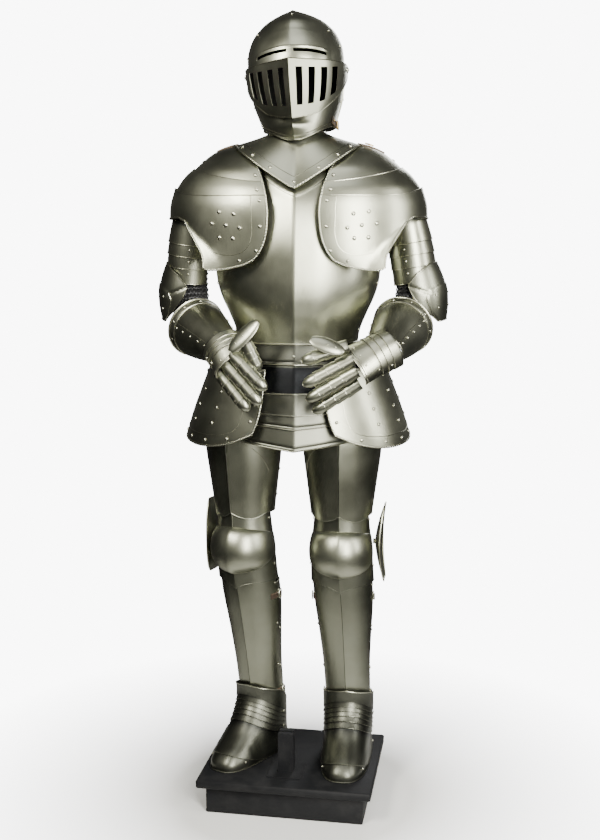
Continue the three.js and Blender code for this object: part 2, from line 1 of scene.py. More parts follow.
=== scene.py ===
# Suit of plate armour on a plinth: fine steel, mail, leather and brass around the CAD frame.
# Sizes are in millimetres until a piece is made. "l" and "r" are the wearer's own sides.
import math
import bpy
import numpy as np
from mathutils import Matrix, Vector


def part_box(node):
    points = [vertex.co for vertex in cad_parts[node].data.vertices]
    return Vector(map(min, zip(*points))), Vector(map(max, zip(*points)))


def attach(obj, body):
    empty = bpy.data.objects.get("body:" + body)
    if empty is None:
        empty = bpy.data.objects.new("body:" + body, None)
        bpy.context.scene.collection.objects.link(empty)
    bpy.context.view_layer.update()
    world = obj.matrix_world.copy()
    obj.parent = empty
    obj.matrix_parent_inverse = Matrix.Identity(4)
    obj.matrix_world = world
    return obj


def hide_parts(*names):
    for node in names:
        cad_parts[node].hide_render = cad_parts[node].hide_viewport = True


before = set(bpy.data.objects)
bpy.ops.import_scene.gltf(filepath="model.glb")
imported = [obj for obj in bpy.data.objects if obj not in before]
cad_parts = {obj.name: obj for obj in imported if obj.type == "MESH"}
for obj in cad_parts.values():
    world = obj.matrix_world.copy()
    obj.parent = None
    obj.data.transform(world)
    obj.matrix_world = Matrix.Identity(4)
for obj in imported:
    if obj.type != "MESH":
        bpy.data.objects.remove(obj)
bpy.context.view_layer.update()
MM = 0.001


def cad(node):
    """Lowest and highest corner of a CAD node in millimetres."""
    return [np.array(corner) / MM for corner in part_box(node)]


PLINTH_LOW, PLINTH_HIGH = cad("plinth")
REST_LOW, REST_HIGH = cad("sword_rest")
FIGURE_X = 15.0          # middle of the figure on the plinth
GROUND = PLINTH_HIGH[2]  # the plinth's top
WALL = 1.6               # steel plate
STEP = 3.4               # from one plate to the one under it
ROPE = 0.16              # depth of the twist in a roped border
TWIST = 7.0              # length of one turn of it
SIDES = (("l", 1), ("r", -1))
ARM = {
    "l": dict(shoulder=(246, 28, 1440), elbow=(279, 38, 1236), rim=(242, -26, 1174),
              wrist=(214, -160, 1130), knuckle=(150, -195, 1098)),
    "r": dict(shoulder=(-256, -18, 1440), elbow=(-279, 12, 1238), rim=(-243, -37, 1172),
              wrist=(-146, -156, 1130), knuckle=(-112, -190, 1098)),
}
LEG = {
    "l": dict(hip=(102, 10), knee=(101, 20), ankle=(114, 70), yaw=2.5, foot_yaw=2),
    "r": dict(hip=(-142, 10), knee=(-137, 20), ankle=(-109, 66), yaw=-15, foot_yaw=-22),
}
FINGERS = {
    "l": dict(index=((131, -200, 1143), (42, -214, 1112)), middle=((143, -204, 1114), (46, -218, 1060)),
              ring=((151, -201, 1085), (52, -212, 1026)), little=((156, -190, 1057), (64, -196, 998))),
    "r": dict(index=((-84, -214, 1146), (-62, -190, 1088)), middle=((-112, -202, 1118), (-41, -214, 1048)),
              ring=((-130, -195, 1095), (-54, -209, 1014)), little=((-147, -184, 1072), (-84, -199, 999))),
}
THUMB = {"l": ((126, -226, 1138), (66, -232, 1160)), "r": ((-112, -222, 1140), (-62, -214, 1196))}


# ---- camera
def look_from(place, target, obj):
    obj.location = Vector(place) * MM
    obj.rotation_euler = (Vector(target) - Vector(place)).to_track_quat("-Z", "Y").to_euler()


def make_camera():
    turn, focal = math.radians(9.7), 47.57
    distance, eye, aim = 2660, 1330, 950
    camera = bpy.data.objects.new("camera", bpy.data.cameras.new("camera"))
    camera.data.lens = focal
    bpy.context.scene.collection.objects.link(camera)
    place = (FIGURE_X + math.sin(turn) * distance, -math.cos(turn) * distance, eye)
    look_from(place, (FIGURE_X, 0, aim), camera)
    bpy.context.scene.camera = camera


make_camera()


# ---- materials
class Nodes:
    """A short way to add and join the shader nodes of a material or a world."""

    def __init__(self, owner):
        owner.use_nodes = True
        self.owner = owner
        self.tree = owner.node_tree
        self.shader = self.tree.nodes.get("Principled BSDF")
        self.place = self.add("ShaderNodeTexCoord").outputs["Object"]

    def add(self, kind, links=None, **values):
        node = self.tree.nodes.new(kind)
        for key, value in values.items():
            if hasattr(node, key):
                setattr(node, key, value)
            else:
                node.inputs[key.replace("_", " ")].default_value = value
        for key, source in (links or {}).items():
            self.tree.links.new(source, node.inputs[key])
        return node

    def link(self, source, name):
        self.tree.links.new(source, self.shader.inputs[name])

    def fix(self, **values):
        for key, value in values.items():
            self.shader.inputs[key.replace("_", " ")].default_value = value

    def stretched(self, scale):
        return self.add("ShaderNodeMapping", {"Vector": self.place}, Scale=scale).outputs["Vector"]

    def noise(self, scale, detail=2.0, vector=None):
        links = {"Vector": vector or self.place}
        return self.add("ShaderNodeTexNoise", links, Scale=scale, Detail=detail).outputs["Fac"]

    # Each point's painted light and shade on steel, and its wear on leather.
    def painted_light_and_wear(self):
        return self.add("ShaderNodeAttribute", attribute_name="painted_light_and_wear").outputs["Fac"]

    def span(self, value, low, high, low_in=0.0, high_in=1.0):
        node = self.add("ShaderNodeMapRange", {"Value": value})
        for key, limit in (("From Min", low_in), ("From Max", high_in), ("To Min", low), ("To Max", high)):
            node.inputs[key].default_value = limit
        return node.outputs["Result"]

    def maths(self, operation, a, b):
        node = self.add("ShaderNodeMath", operation=operation)
        for socket, value in zip(node.inputs, (a, b)):
            if isinstance(value, (int, float)):
                socket.default_value = value
            else:
                self.tree.links.new(value, socket)
        return node.outputs["Value"]

    def mixed(self, factor, first, second, low_in=0.0, high_in=1.0):
        """One colour that turns into another as the factor goes from low_in to high_in."""
        if (low_in, high_in) != (0.0, 1.0):
            factor = self.span(factor, 0, 1, low_in, high_in)
        node = self.add("ShaderNodeMix", data_type="RGBA")
        colours = [s for s in node.inputs if s.type == "RGBA"]
        self.tree.links.new(factor, node.inputs[0])
        for socket, value in zip(colours, (first, second)):
            if isinstance(value, tuple):
                socket.default_value = (*value, 1)
            else:
                self.tree.links.new(value, socket)
        return next(s for s in node.outputs if s.type == "RGBA")

    def bump(self, height, strength, distance, normal=None):
        node = self.add("ShaderNodeBump", {"Height": height}, Strength=strength, Distance=distance)
        if normal:
            self.tree.links.new(normal, node.inputs["Normal"])
        return node.outputs["Normal"]


def material(name):
    return Nodes(bpy.data.materials.new(name))


def steel_material():
    """Satin brushed steel with a warm tint. Where a point's painted light is above 0 its colour is lightened
    into a painted highlight on rims, bars and rivet heads; below 0 it is darkened into painted shade in
    recesses, under overlapping edges and over pieces that sit in shade.
    """
    n = material("steel")
    streaks = n.noise(1.0, 3.0, n.stretched((900, 900, 40)))
    clouds = n.noise(9.0, 4.0)
    painted_light_and_wear = n.painted_light_and_wear()
    tone = n.mixed(clouds, (0.345, 0.352, 0.275), (0.43, 0.44, 0.35), 0.3, 0.7)
    # Painted highlight: the steel turns a lighter, warmer grey where the painted light is above 0.
    tone = n.mixed(painted_light_and_wear, tone, (0.62, 0.61, 0.50))
    # Painted shade: the steel turns near black where the painted light is below 0.
    tone = n.mixed(painted_light_and_wear, tone, (0.018, 0.019, 0.021), 0.0, -1.0)
    n.link(tone, "Base Color")
    n.fix(Metallic=1.0)
    rough = n.maths("ADD", n.span(streaks, -0.04, 0.04), n.span(clouds, 0.29, 0.38, 0.3, 0.7))
    rough = n.maths("SUBTRACT", rough, n.maths("MULTIPLY", painted_light_and_wear, 0.06))
    n.link(rough, "Roughness")
    wavy = n.bump(n.noise(14.0, 1.0), 0.22, 0.0030)
    n.link(n.bump(streaks, 0.16, 0.0004, wavy), "Normal")
    return n.owner


def helmet_inside_material():
    """The helmet's inside, near black and left rough."""
    n = material("helmet_inside_steel")
    n.link(n.mixed(n.noise(60.0, 3.0), (0.004, 0.004, 0.004), (0.009, 0.009, 0.009)), "Base Color")
    n.fix(Roughness=0.8, Specular_IOR_Level=0.2)
    return n.owner


def mail_material():
    """Blackened iron rings."""
    n = material("mail")
    wear = n.noise(160.0, 3.0)
    n.link(n.mixed(wear, (0.03, 0.03, 0.034), (0.14, 0.14, 0.15), 0.4, 0.7), "Base Color")
    n.fix(Metallic=0.7)
    n.link(n.span(wear, 0.38, 0.6), "Roughness")
    return n.owner


def cloth_material():
    """Black cloth that backs the mail, with its weave."""
    n = material("backing_cloth")
    weave = n.add("ShaderNodeTexWave", {"Vector": n.place}, Scale=260.0, Distortion=1.5, bands_direction="Z")
    weave = weave.outputs["Fac"]
    n.link(n.mixed(weave, (0.003, 0.003, 0.004), (0.009, 0.009, 0.010)), "Base Color")
    n.fix(Roughness=0.9, Sheen_Weight=0.15)
    n.link(n.bump(weave, 0.5, 0.0006), "Normal")
    return n.owner


def leather_material():
    """Brown strap leather, lighter along its edges from wear."""
    n = material("leather")
    grain = n.add("ShaderNodeTexVoronoi", {"Vector": n.place}, Scale=700.0).outputs["Distance"]
    stain = n.noise(45.0, 4.0)
    tone = n.mixed(stain, (0.020, 0.013, 0.009), (0.042, 0.026, 0.016), 0.3, 0.7)
    n.link(n.mixed(n.painted_light_and_wear(), tone, (0.10, 0.065, 0.04)), "Base Color")
    n.link(n.span(stain, 0.45, 0.7), "Roughness")
    n.link(n.bump(grain, 0.35, 0.0005), "Normal")
    return n.owner


def brass_material():
    n = material("brass")
    stain = n.noise(90.0, 4.0)
    n.link(n.mixed(stain, (0.56, 0.40, 0.17), (0.28, 0.18, 0.07), 0.35, 0.7), "Base Color")
    n.fix(Metallic=1.0)
    n.link(n.span(stain, 0.25, 0.5), "Roughness")
    return n.owner


def plinth_material():
    """Matte black paint over wood, with a faint grain and dusty wear."""
    n = material("plinth_paint")
    grain = n.noise(1.0, 4.0, n.stretched((18, 260, 260)))
    dust = n.noise(30.0, 5.0)
    n.link(n.mixed(dust, (0.0045, 0.0048, 0.0060), (0.011, 0.011, 0.012), 0.45, 0.75), "Base Color")
    n.link(n.span(dust, 0.55, 0.72), "Roughness")
    n.fix(Specular_IOR_Level=0.22)
    n.link(n.bump(grain, 0.25, 0.0006), "Normal")
    return n.owner


STEEL = steel_material()
HELMET_INSIDE = helmet_inside_material()
MAIL = mail_material()
CLOTH = cloth_material()
LEATHER = leather_material()
BRASS = brass_material()
PAINT = plinth_material()


# ---- shapes
def along(stops, at):
    """Rows of values read from given stops [at, value, value...], on a smooth curve through them."""
    table = np.array(stops, float)
    x, values = table[:, 0], table[:, 1:]
    at = np.clip(np.asarray(at, float), x[0], x[-1])
    last = len(x) - 1
    i = np.clip(np.searchsorted(x, at) - 1, 0, last - 1)
    before, after = np.maximum(i - 1, 0), np.minimum(i + 2, last)
    span = x[i + 1] - x[i]
    t = ((at - x[i]) / span)[..., None]
    chord = values[i + 1] - values[i]
    rise = (values[i + 1] - values[before]) / (x[i + 1] - x[before])[..., None] * span[..., None]
    fall = (values[after] - values[i]) / (x[after] - x[i])[..., None] * span[..., None]
    return values[i] + t * chord + t * (1 - t) * ((1 - t) * (rise - chord) + t * (chord - fall))


def strip(table, at):
    """One smooth value from stops [at, value]."""
    return along(table, at)[..., 0]


def through(stops, count):
    """Points on a smooth curve through evenly timed stops."""
    return along([[k / (len(stops) - 1), *stop] for k, stop in enumerate(stops)], np.linspace(0, 1, count))


def steps(stops, at):
    """A value read from stops joined by straight lines."""
    table = np.array(stops, float)
    return np.interp(at, table[:, 0], table[:, 1])


def mix(a, b, t):
    return a + (b - a) * t


def stack(x, y, z):
    return np.stack(np.broadcast_arrays(x, y, z), axis=-1).astype(float)


def form(rows):
    """A hollow form from level sections: height, middle x, middle y, half width, front depth, back depth,
    ridge depth, squareness. Angle 0 looks to the front (-Y) and 90 degrees to +X."""
    table = [list(r) + [r[4]] * (len(r) < 7) + [2] * (len(r) < 8) for r in rows]

    def shape(angle, z, out=0.0):
        angle, z = np.broadcast_arrays(np.radians(angle), np.asarray(z, float))
        x0, y0, width, front, back, ridge, square = np.moveaxis(along(table, z), -1, 0)
        s, c = np.sin(angle), np.cos(angle)
        power = 2 / square
        x = np.sign(s) * np.abs(s) ** power * (width + out)
        y = np.abs(c) ** power * (np.where(c > 0, front, back) + out)
        ridged = (c > 0) & (ridge > front)
        touch = np.arccos(np.clip(front / np.maximum(ridge, front), 0, 1))
        reach = np.maximum(np.sin(touch) * (width + out), 1e-6)
        flank = mix(ridge + out, np.cos(touch) * (front + out), np.abs(x) / reach)
        y = np.where(ridged & (np.abs(x) < reach), flank, y)
        return stack(x0 + x, y0 - np.sign(c) * y, z)

    return shape


def upright(rows, y=0.0):
    """A form whose sections all have their middle on one upright line: height, half width, front depth..."""
    return form([[z, 0, y, *row] for z, *row in rows])


def band(shape, start, end, low, high, out=0.0):
    """A surface on a form between two angles and between a lower and an upper edge."""
    def surface(s, t):
        angle = mix(start, end, s)
        bottom = low(angle) if callable(low) else low
        top = high(angle) if callable(high) else high
        return shape(angle, mix(bottom, top, t), out)
    return surface


def turned(angle, axis):
    """A 4x4 rotation by degrees about x, y or z."""
    c, s = math.cos(math.radians(angle)), math.sin(math.radians(angle))
    m = np.eye(4)
    i, j = {"x": (1, 2), "y": (2, 0), "z": (0, 1)}[axis]
    m[i, i] = m[j, j] = c
    m[i, j], m[j, i] = -s, s
    return m


def moved(x, y, z):
    m = np.eye(4)
    m[:3, 3] = x, y, z
    return m


def unit(v):
    return v / np.maximum(np.linalg.norm(v, axis=-1, keepdims=True), 1e-9)


def aimed(origin, towards, front):
    """A frame in the figure whose +Z runs from one point towards another and whose -Y faces front."""
    up = unit(np.subtract(towards, origin).astype(float))
    back = -np.asarray(front, float)
    back = unit(back - up * back.dot(up))
    m = np.eye(4)
    m[:3, 0], m[:3, 1], m[:3, 2], m[:3, 3] = np.cross(back, up), back, up, origin
    return FIGURE @ m


FIGURE = moved(FIGURE_X, 0, 0)
TORSO = FIGURE @ moved(-4.5, 0, 0) @ turned(5.7, "z")
NECK = 1600  # the helmet turns and leans about this height
HELMET = FIGURE @ moved(0, 0, NECK) @ turned(3, "z") @ turned(-3.2, "y") @ moved(0, 0, -NECK)


class Mesh:
    """Points, faces, looks and painted light and shade (wear on leather) of one piece, joined from several
    shapes.
    """

    def __init__(self, place=None):
        self.place = np.eye(4) if place is None else place
        self.points, self.faces, self.looks, self.painted_light_and_wear = [], [], [], []
        self.count = 0

    def add(self, points, faces, painted_light_and_wear=0.0):
        points = np.asarray(points, float).reshape(-1, 3)
        self.points.append(points @ self.place[:3, :3].T + self.place[:3, 3])
        for group in faces:
            self.faces.extend((group + self.count).tolist())
            self.looks.extend([0] * len(group))
        self.painted_light_and_wear.append(np.broadcast_to(painted_light_and_wear, len(points)))
        self.count += len(points)


def cells(length, pitch, start, end):
    """An even number of cells of about the given pitch for the part of a line between its fixed points."""
    return 2 * max(1, round((float(np.mean(length)) - start[-1] - end[-1]) / pitch / 2))


def spread(length, count, start, end):
    """Distances along lines of the given lengths: fixed ones near both ends, even ones between."""
    start, end = np.array(start, float), np.array(end, float)
    shrink = np.minimum(1, 0.42 * length / max(start[-1], end[-1], 1e-6))[:, None]
    first = start * shrink
    final = length[:, None] - end[::-1] * shrink
    inner = first[:, -1:] + (final[:, :1] - first[:, -1:]) * np.linspace(0, 1, count + 1)[1:-1]
    return np.concatenate([first, inner, final], axis=1)


def run(points):
    """Distance along each row of points."""
    gaps = np.linalg.norm(np.diff(points, axis=-2), axis=-1)
    return np.concatenate([np.zeros(gaps.shape[:-1] + (1,)), np.cumsum(gaps, axis=-1)], axis=-1)


EDGE = (0, 1.0, 2.2, 4.0)  # where rows and columns run beside a plate's edge
GROOVE = 1.5               # half width of an engraved line


def lattice(surface, pitch, marks):
    """Columns and rows over a surface that follow its edges, and each point's distance from them in mm.
    marks gives the distances from the "l", "r", "b" and "t" edges where a line of points is wanted."""
    fine = np.linspace(0, 1, 121)
    near = {side: marks.get(side, EDGE) for side in "lrbt"}
    middle = run(surface(np.full(121, 0.5), fine))
    tall = cells(middle[-1], pitch, near["b"], near["t"])
    heights = np.interp(spread(middle[-1:], tall, near["b"], near["t"])[0], middle, fine)
    rows = run(surface(fine[None, :], heights[:, None]))
    across = spread(rows[:, -1], cells(rows[:, -1], pitch, near["l"], near["r"]), near["l"], near["r"])
    s = np.array([np.interp(p, row, fine) for p, row in zip(across, rows)])
    columns = run(surface(s[len(s) // 2][:, None], fine[None, :]))
    upward = spread(columns[:, -1], tall, near["b"], near["t"])
    t = np.array([np.interp(p, column, fine) for p, column in zip(upward, columns)]).T
    far = {"l": across, "r": rows[:, -1:] - across, "b": upward.T, "t": columns[:, -1] - upward.T}
    return s, t, far


def normals(points, closed):
    """Outward unit normals of a lattice of points."""
    ds, dt = np.gradient(points, axis=1), np.gradient(points, axis=0)
    if closed:
        ds[:, 0] = ds[:, -1] = points[:, 1] - points[:, -2]
    return unit(np.cross(ds, dt))


def shell(mesh, points, normal, wall=WALL, closed=False, holes=None, painted_light_and_wear=0.0, inside=None):
    """Adds a wall of the given thickness behind a lattice of outer points. A cell is left open where
    holes is true. inside is the look of the inner skin, where it has its own."""
    m, n = points.shape[:2]
    ids = np.arange(m * n).reshape(m, n)
    if closed:
        ids[:, -1] = ids[:, 0]
    a, b, c, d = ids[:-1, :-1], ids[:-1, 1:], ids[1:, 1:], ids[1:, :-1]
    quads = np.stack([a, b, c, d], axis=-1)
    if holes is not None:
        quads = quads[~holes]
    quads = quads.reshape(-1, 4)
    ends = np.concatenate([quads[:, [k, (k + 1) % 4]] for k in range(4)])
    total = m * n
    forward, backward = ends[:, 0] * total + ends[:, 1], ends[:, 1] * total + ends[:, 0]
    border = ends[~np.isin(backward, forward)]
    walls = np.stack([border[:, 1], border[:, 0], border[:, 0] + total, border[:, 1] + total], axis=-1)
    inner = quads[:, ::-1] + total
    both = np.concatenate([points.reshape(-1, 3), (points - normal * wall).reshape(-1, 3)])
    # Each point's painted light and shade (wear on leather); the inner skin takes only the painted shade, never
    # the painted highlight.
    painted_light_and_wear_level = np.broadcast_to(painted_light_and_wear, (m, n)).reshape(-1)
    mesh.add(both, [quads, inner, walls], np.concatenate([painted_light_and_wear_level, np.minimum(painted_light_and_wear_level, 0)]))
    if inside is not None:
        mesh.looks[-len(inner) - len(walls):-len(walls)] = [inside] * len(inner)


def resampled(path, at):
    """The points at given distances along a path."""
    length = run(path)
    return np.stack([np.interp(at, length, path[:, k]) for k in range(3)], axis=-1)


def ring_quads(count, sides):
    """The numbered points of stacked rings, and the faces between one ring and the next."""
    ids = np.arange(count * sides).reshape(count, sides)
    nxt = np.roll(ids, -1, axis=1)
    return ids, np.stack([ids[:-1], nxt[:-1], nxt[1:], ids[1:]], axis=-1).reshape(-1, 4)


def tube(mesh, path, radius, sides=8, closed=False, painted_light_and_wear=0.6, rope=0.0):
    """A round bar along a path, with a painted highlight unless given other painted light. rope gives its
    twisted strands their depth.
    """
    path = np.asarray(path, float)
    if closed:
        path = np.concatenate([path, path[:1]])
    length = run(path)[-1]
    at = np.linspace(0, length, max(3, int(length / (TWIST / 6 if rope else 2.2 * radius))) + 1)
    path = resampled(path, at)
    tangent = unit(np.gradient(path, axis=0))
    if closed:
        tangent[0] = tangent[-1] = unit(path[1] - path[-2])
    side = np.cross(tangent[0], (0.31, 0.52, 0.79))
    sides_at = []
    for t in tangent:
        side = unit(side - t * np.dot(side, t))
        sides_at.append(side)
    first = np.array(sides_at)
    second = np.cross(tangent, first)
    turn = np.linspace(0, 2 * np.pi, sides, endpoint=False)
    twist = 1 + rope * np.cos(2 * turn[None, :] - 2 * np.pi * at[:, None] / TWIST) if rope else 1.0
    ring = radius * twist
    points = (path[:, None] + (np.cos(turn) * ring)[..., None] * first[:, None]
              + (np.sin(turn) * ring)[..., None] * second[:, None])
    ids, quads = ring_quads(len(path), sides)
    mesh.add(points, [quads], painted_light_and_wear)
    if not closed:
        for end, order in ((0, -1), (-1, 1)):
            mesh.add(points[end][::order], [ids[:1]], painted_light_and_wear)


DOME = ((1.0, 0.0), (0.97, 0.35), (0.80, 0.72), (0.45, 0.95))  # a rivet head's radius and height


def studs(mesh, spots, outward, radius, height=2.3, sides=10, painted_light_and_wear=0.7):
    """Round rivet heads at spots, standing on a surface with the given outward directions, with a painted
    highlight unless given other painted light.
    """
    spots, outward = np.atleast_2d(spots), unit(np.atleast_2d(outward))
    turn = np.linspace(0, 2 * np.pi, sides, endpoint=False)
    for spot, up in zip(spots, outward):
        first = unit(np.cross(up, (0.3, 0.5, 0.81)))
        second = np.cross(up, first)
        round_it = np.cos(turn)[:, None] * first + np.sin(turn)[:, None] * second
        rings = [spot + up * (h * height) + r * radius * round_it for r, h in DOME]
        points = np.concatenate([*rings, [spot + up * height]])
        ids, quads = ring_quads(len(DOME), sides)
        top = np.full(sides, len(points) - 1)
        mesh.add(points, [quads, np.stack([ids[-1], np.roll(ids[-1], -1), top], axis=-1)], painted_light_and_wear)


def on_surface(surface, places, lift=0.0):
    """Points and outward directions at (s, t) places of a surface."""
    s, t = np.array(places, float).T
    e = 1e-3
    at = surface(s, t)
    ds = surface(np.minimum(s + e, 1), t) - surface(np.maximum(s - e, 0), t)
    dt = surface(s, np.minimum(t + e, 1)) - surface(s, np.maximum(t - e, 0))
    outward = unit(np.cross(ds, dt))
    return at + outward * lift, outward


def rivets(mesh, surface, places, radius, lift=0.0, **options):
    spots, outward = on_surface(surface, places, lift)
    studs(mesh, spots, outward, radius, **options)


def border(points, normal, sides, wall=WALL):
    """The path of a turned rim round the named sides of a lattice, a little proud of the wall's middle."""
    middle = points - normal * (wall / 2 - 0.3)
    strips = {"b": middle[0], "r": middle[:, -1], "t": middle[-1, ::-1], "l": middle[::-1, 0]}
    return np.concatenate([strips[side][:-1] if k < len(sides) - 1 else strips[side]
                           for k, side in enumerate(sides)])


def plate(mesh, surface, pitch, line=None, relief=None, rim="", rim_radius=2.0, rope=0.0, closed=False,
          wall=WALL, marks=None, painted_light_and_wear=0.0, painted_light_and_wear_level=0.3, inside=None):
    """A steel plate on a surface over s and t. line is a side, how far in mm an engraved line runs from
    it and its depth; relief(s, t) moves the skin outwards; rim names the turned sides. Skin and rims
    carry painted light: above 0 a painted highlight, below 0 painted shade."""
    wanted = {side: EDGE for side in "lrbt"}
    if closed:
        wanted["l"] = wanted["r"] = (0,)
    if line:
        side, at, depth = line
        wanted[side] = (*EDGE, at - GROOVE, at, at + GROOVE)
    wanted.update(marks or {})
    s, t, far = lattice(surface, pitch, wanted)
    points = surface(s, t)
    normal = normals(points, closed)
    out = relief(s, t) if relief else np.zeros(s.shape)
    if line:
        out = out - depth * np.clip(1 - np.abs(far[side] - at) / GROOVE, 0, 1)
    points = points + normal * out[..., None]
    normal = normals(points, closed)
    painted_light_and_wear = painted_light_and_wear(s, t) if callable(painted_light_and_wear) else painted_light_and_wear
    shell(mesh, points, normal, wall, closed, painted_light_and_wear=painted_light_and_wear, inside=inside)
    if rim:
        tube(mesh, border(points, normal, rim, wall), rim_radius, 10 if rope else 8, closed=len(rim) == 4,
             rope=rope, painted_light_and_wear=0.35 if rope else painted_light_and_wear_level)
    return points, normal


def bead(mesh, shape, stops, out=0.0, radius=0.8, painted_light_and_wear=0.35, mirror=1):
    """A thin raised line through (angle, height) stops of a form, with a painted highlight by default; given
    below 0 it is painted as a dark shadow line.
    """
    angle, z = np.moveaxis(through(stops, 12 * len(stops)), -1, 0)
    tube(mesh, shape(angle, z, out) * mirror, radius, 6, painted_light_and_wear=painted_light_and_wear)


def strap(mesh, path, outward, width, thick):
    """A flat strap along a path, lying across the outward directions."""
    path, outward = np.asarray(path, float), unit(np.asarray(outward, float))
    length = run(path)
    at = np.linspace(0, length[-1], max(4, int(length[-1] / 5)) + 1)
    path = resampled(path, at)
    outward = unit(np.stack([np.interp(at, length, outward[:, k]) for k in range(3)], axis=-1))
    side = unit(np.cross(np.gradient(path, axis=0), outward))
    across = np.array([-0.5, -0.44, -0.2, 0.2, 0.44, 0.5]) * width
    crown = np.array([-0.5, 0, 0, 0, 0, -0.5]) * thick
    points = path[:, None] + across[None, :, None] * side[:, None] + crown[None, :, None] * outward[:, None]
    points = points[:, ::-1]
    # Lighter along both edges: wear on the leather straps, a painted highlight on the steel hinge straps.
    edge_wear_and_highlight = np.array([1, 0.4, 0, 0, 0.4, 1])
    shell(mesh, points, np.repeat(outward[:, None], len(across), axis=1), thick, painted_light_and_wear=edge_wear_and_highlight)


def buckle(mesh, centre, tangent, outward, width, length):
    """A square frame buckle with its prong."""
    tangent, outward = unit(np.asarray(tangent, float)), unit(np.asarray(outward, float))
    side = np.cross(outward, tangent)
    corners = [(1, 0.7), (0.7, 1), (-0.7, 1), (-1, 0.7), (-1, -0.7), (-0.7, -1), (0.7, -1), (1, -0.7)]
    loop = [centre + side * (x * width / 2) + tangent * (y * length / 2) + outward * 2.2 for x, y in corners]
    path = []
    for a, b in zip(loop, loop[1:] + loop[:1]):
        path += [mix(a, b, k / 4) for k in range(4)]
    tube(mesh, path, 1.7, 8, closed=True, painted_light_and_wear=0.5)
    tube(mesh, [centre - tangent * length / 2 + outward * 2.6, centre + outward * 3.4,
                centre + tangent * length * 0.56 + outward * 2.6], 1.2, 6, painted_light_and_wear=0.5)


def piece(name, mesh, node=None, body="suit", looks=(STEEL,), slot="steel", sharp=34):
    """Makes the Blender object, sets it on its body and hides the CAD node that it stands for."""
    data = bpy.data.meshes.new(name)
    points = np.concatenate(mesh.points) * MM
    data.from_pydata(points.tolist(), [], mesh.faces)
    for look in looks:
        data.materials.append(look)
    data.polygons.foreach_set("material_index", mesh.looks)
    data.polygons.foreach_set("use_smooth", [True] * len(mesh.faces))
    data.attributes.new("painted_light_and_wear", "FLOAT", "POINT").data.foreach_set("value", np.concatenate(mesh.painted_light_and_wear))
    data.validate()
    data.set_sharp_from_angle(angle=math.radians(sharp))
    obj = bpy.data.objects.new(name, data)
    bpy.context.scene.collection.objects.link(obj)
    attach(obj, body)
    if node:
        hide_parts(node)
    return obj


def steel_piece(mesh, node, **options):
    """A steel piece that stands for a CAD node and is named after it."""
    piece(f"{node}_steel", mesh, node, **options)


def every(firsts, seconds):
    """All pairs of two lists."""
    return [(a, b) for a in firsts for b in seconds]


# ---- helmet
HELMET_Y = 8
CROWN = 1904
SKULL = upright([
    [1600, 70, 106, 74, 0], [1632, 82, 112, 92, 0], [1662, 94, 113, 106, 0],
    [1700, 106, 113, 121, 0], [1740, 111, 114, 130, 0], [1773, 112, 114, 132, 0],
    [1796, 112, 110, 131, 0, 1.9],
    [1820, 108, 100, 124, 0, 1.75], [1848, 95, 83, 106, 0, 1.6], [1868, 76, 71, 91, 0, 1.6],
    [1880, 59, 57, 74, 0, 1.6], [1892, 34, 36, 50, 0, 1.6], [1899, 15, 19, 34, 0, 1.6],
    [1904, 0.5, 8, 20, 0, 1.6],
], y=HELMET_Y)
VISOR = upright([
    [1640, 88, 114, 100, 135], [1700, 109, 121, 120, 147],
    [1745, 117.4, 123.4, 130, 152], [1780, 118.4, 124, 130, 153],
], y=HELMET_Y)
BEVOR = upright([
    [1596, 69, 106, 74, 112], [1612, 74, 112, 80, 124], [1632, 82, 112, 92, 134],
    [1645, 86, 109, 98, 120], [1662, 92, 108, 106, 110], [1700, 104, 112, 121],
    [1760, 112.4, 114, 132],
], y=HELMET_Y)
BROW_HALF = 52     # degrees from the middle of the brow plate to its end
BEVOR_HALF = 89.6  # and of the bevor


def helmet_rim(angle):
    return 1635 - 34 * np.maximum(0, np.cos(np.radians(angle))) ** 2.5


def angle_plate(mesh, surface, angles, levels, hole=None, relief=None, closed=False):
    """A plate on a surface over degrees and t, at given columns and rows."""
    angles, levels = np.array(angles, float), np.array(levels, float)
    a, t = np.broadcast_arrays(angles[None, :], levels[:, None])
    points = surface(a, t)
    normal = normals(points, closed)
    if relief is not None:
        points = points + normal * relief(a, t)[..., None]
        normal = normals(points, closed)
    holes = None
    if hole is not None:
        holes = hole((angles[:-1] + angles[1:])[None, :] / 2, (levels[:-1] + levels[1:])[:, None] / 2)
    shell(mesh, points, normal, WALL, closed, holes, inside=1)
    return points, normal


def between(stops, step):
    """Values from the first stop to the last, through each of them, about a step apart."""
    values = [stops[0]]
    for a, b in zip(stops, stops[1:]):
        count = max(1, round((b - a) / step))
        values += [a + (b - a) * k / count for k in range(1, count + 1)]
    return values


def both_sides(stops, step):
    """Angles through each stop and its mirror image."""
    half = between(stops, step)
    return [-a for a in half[:0:-1]] + half


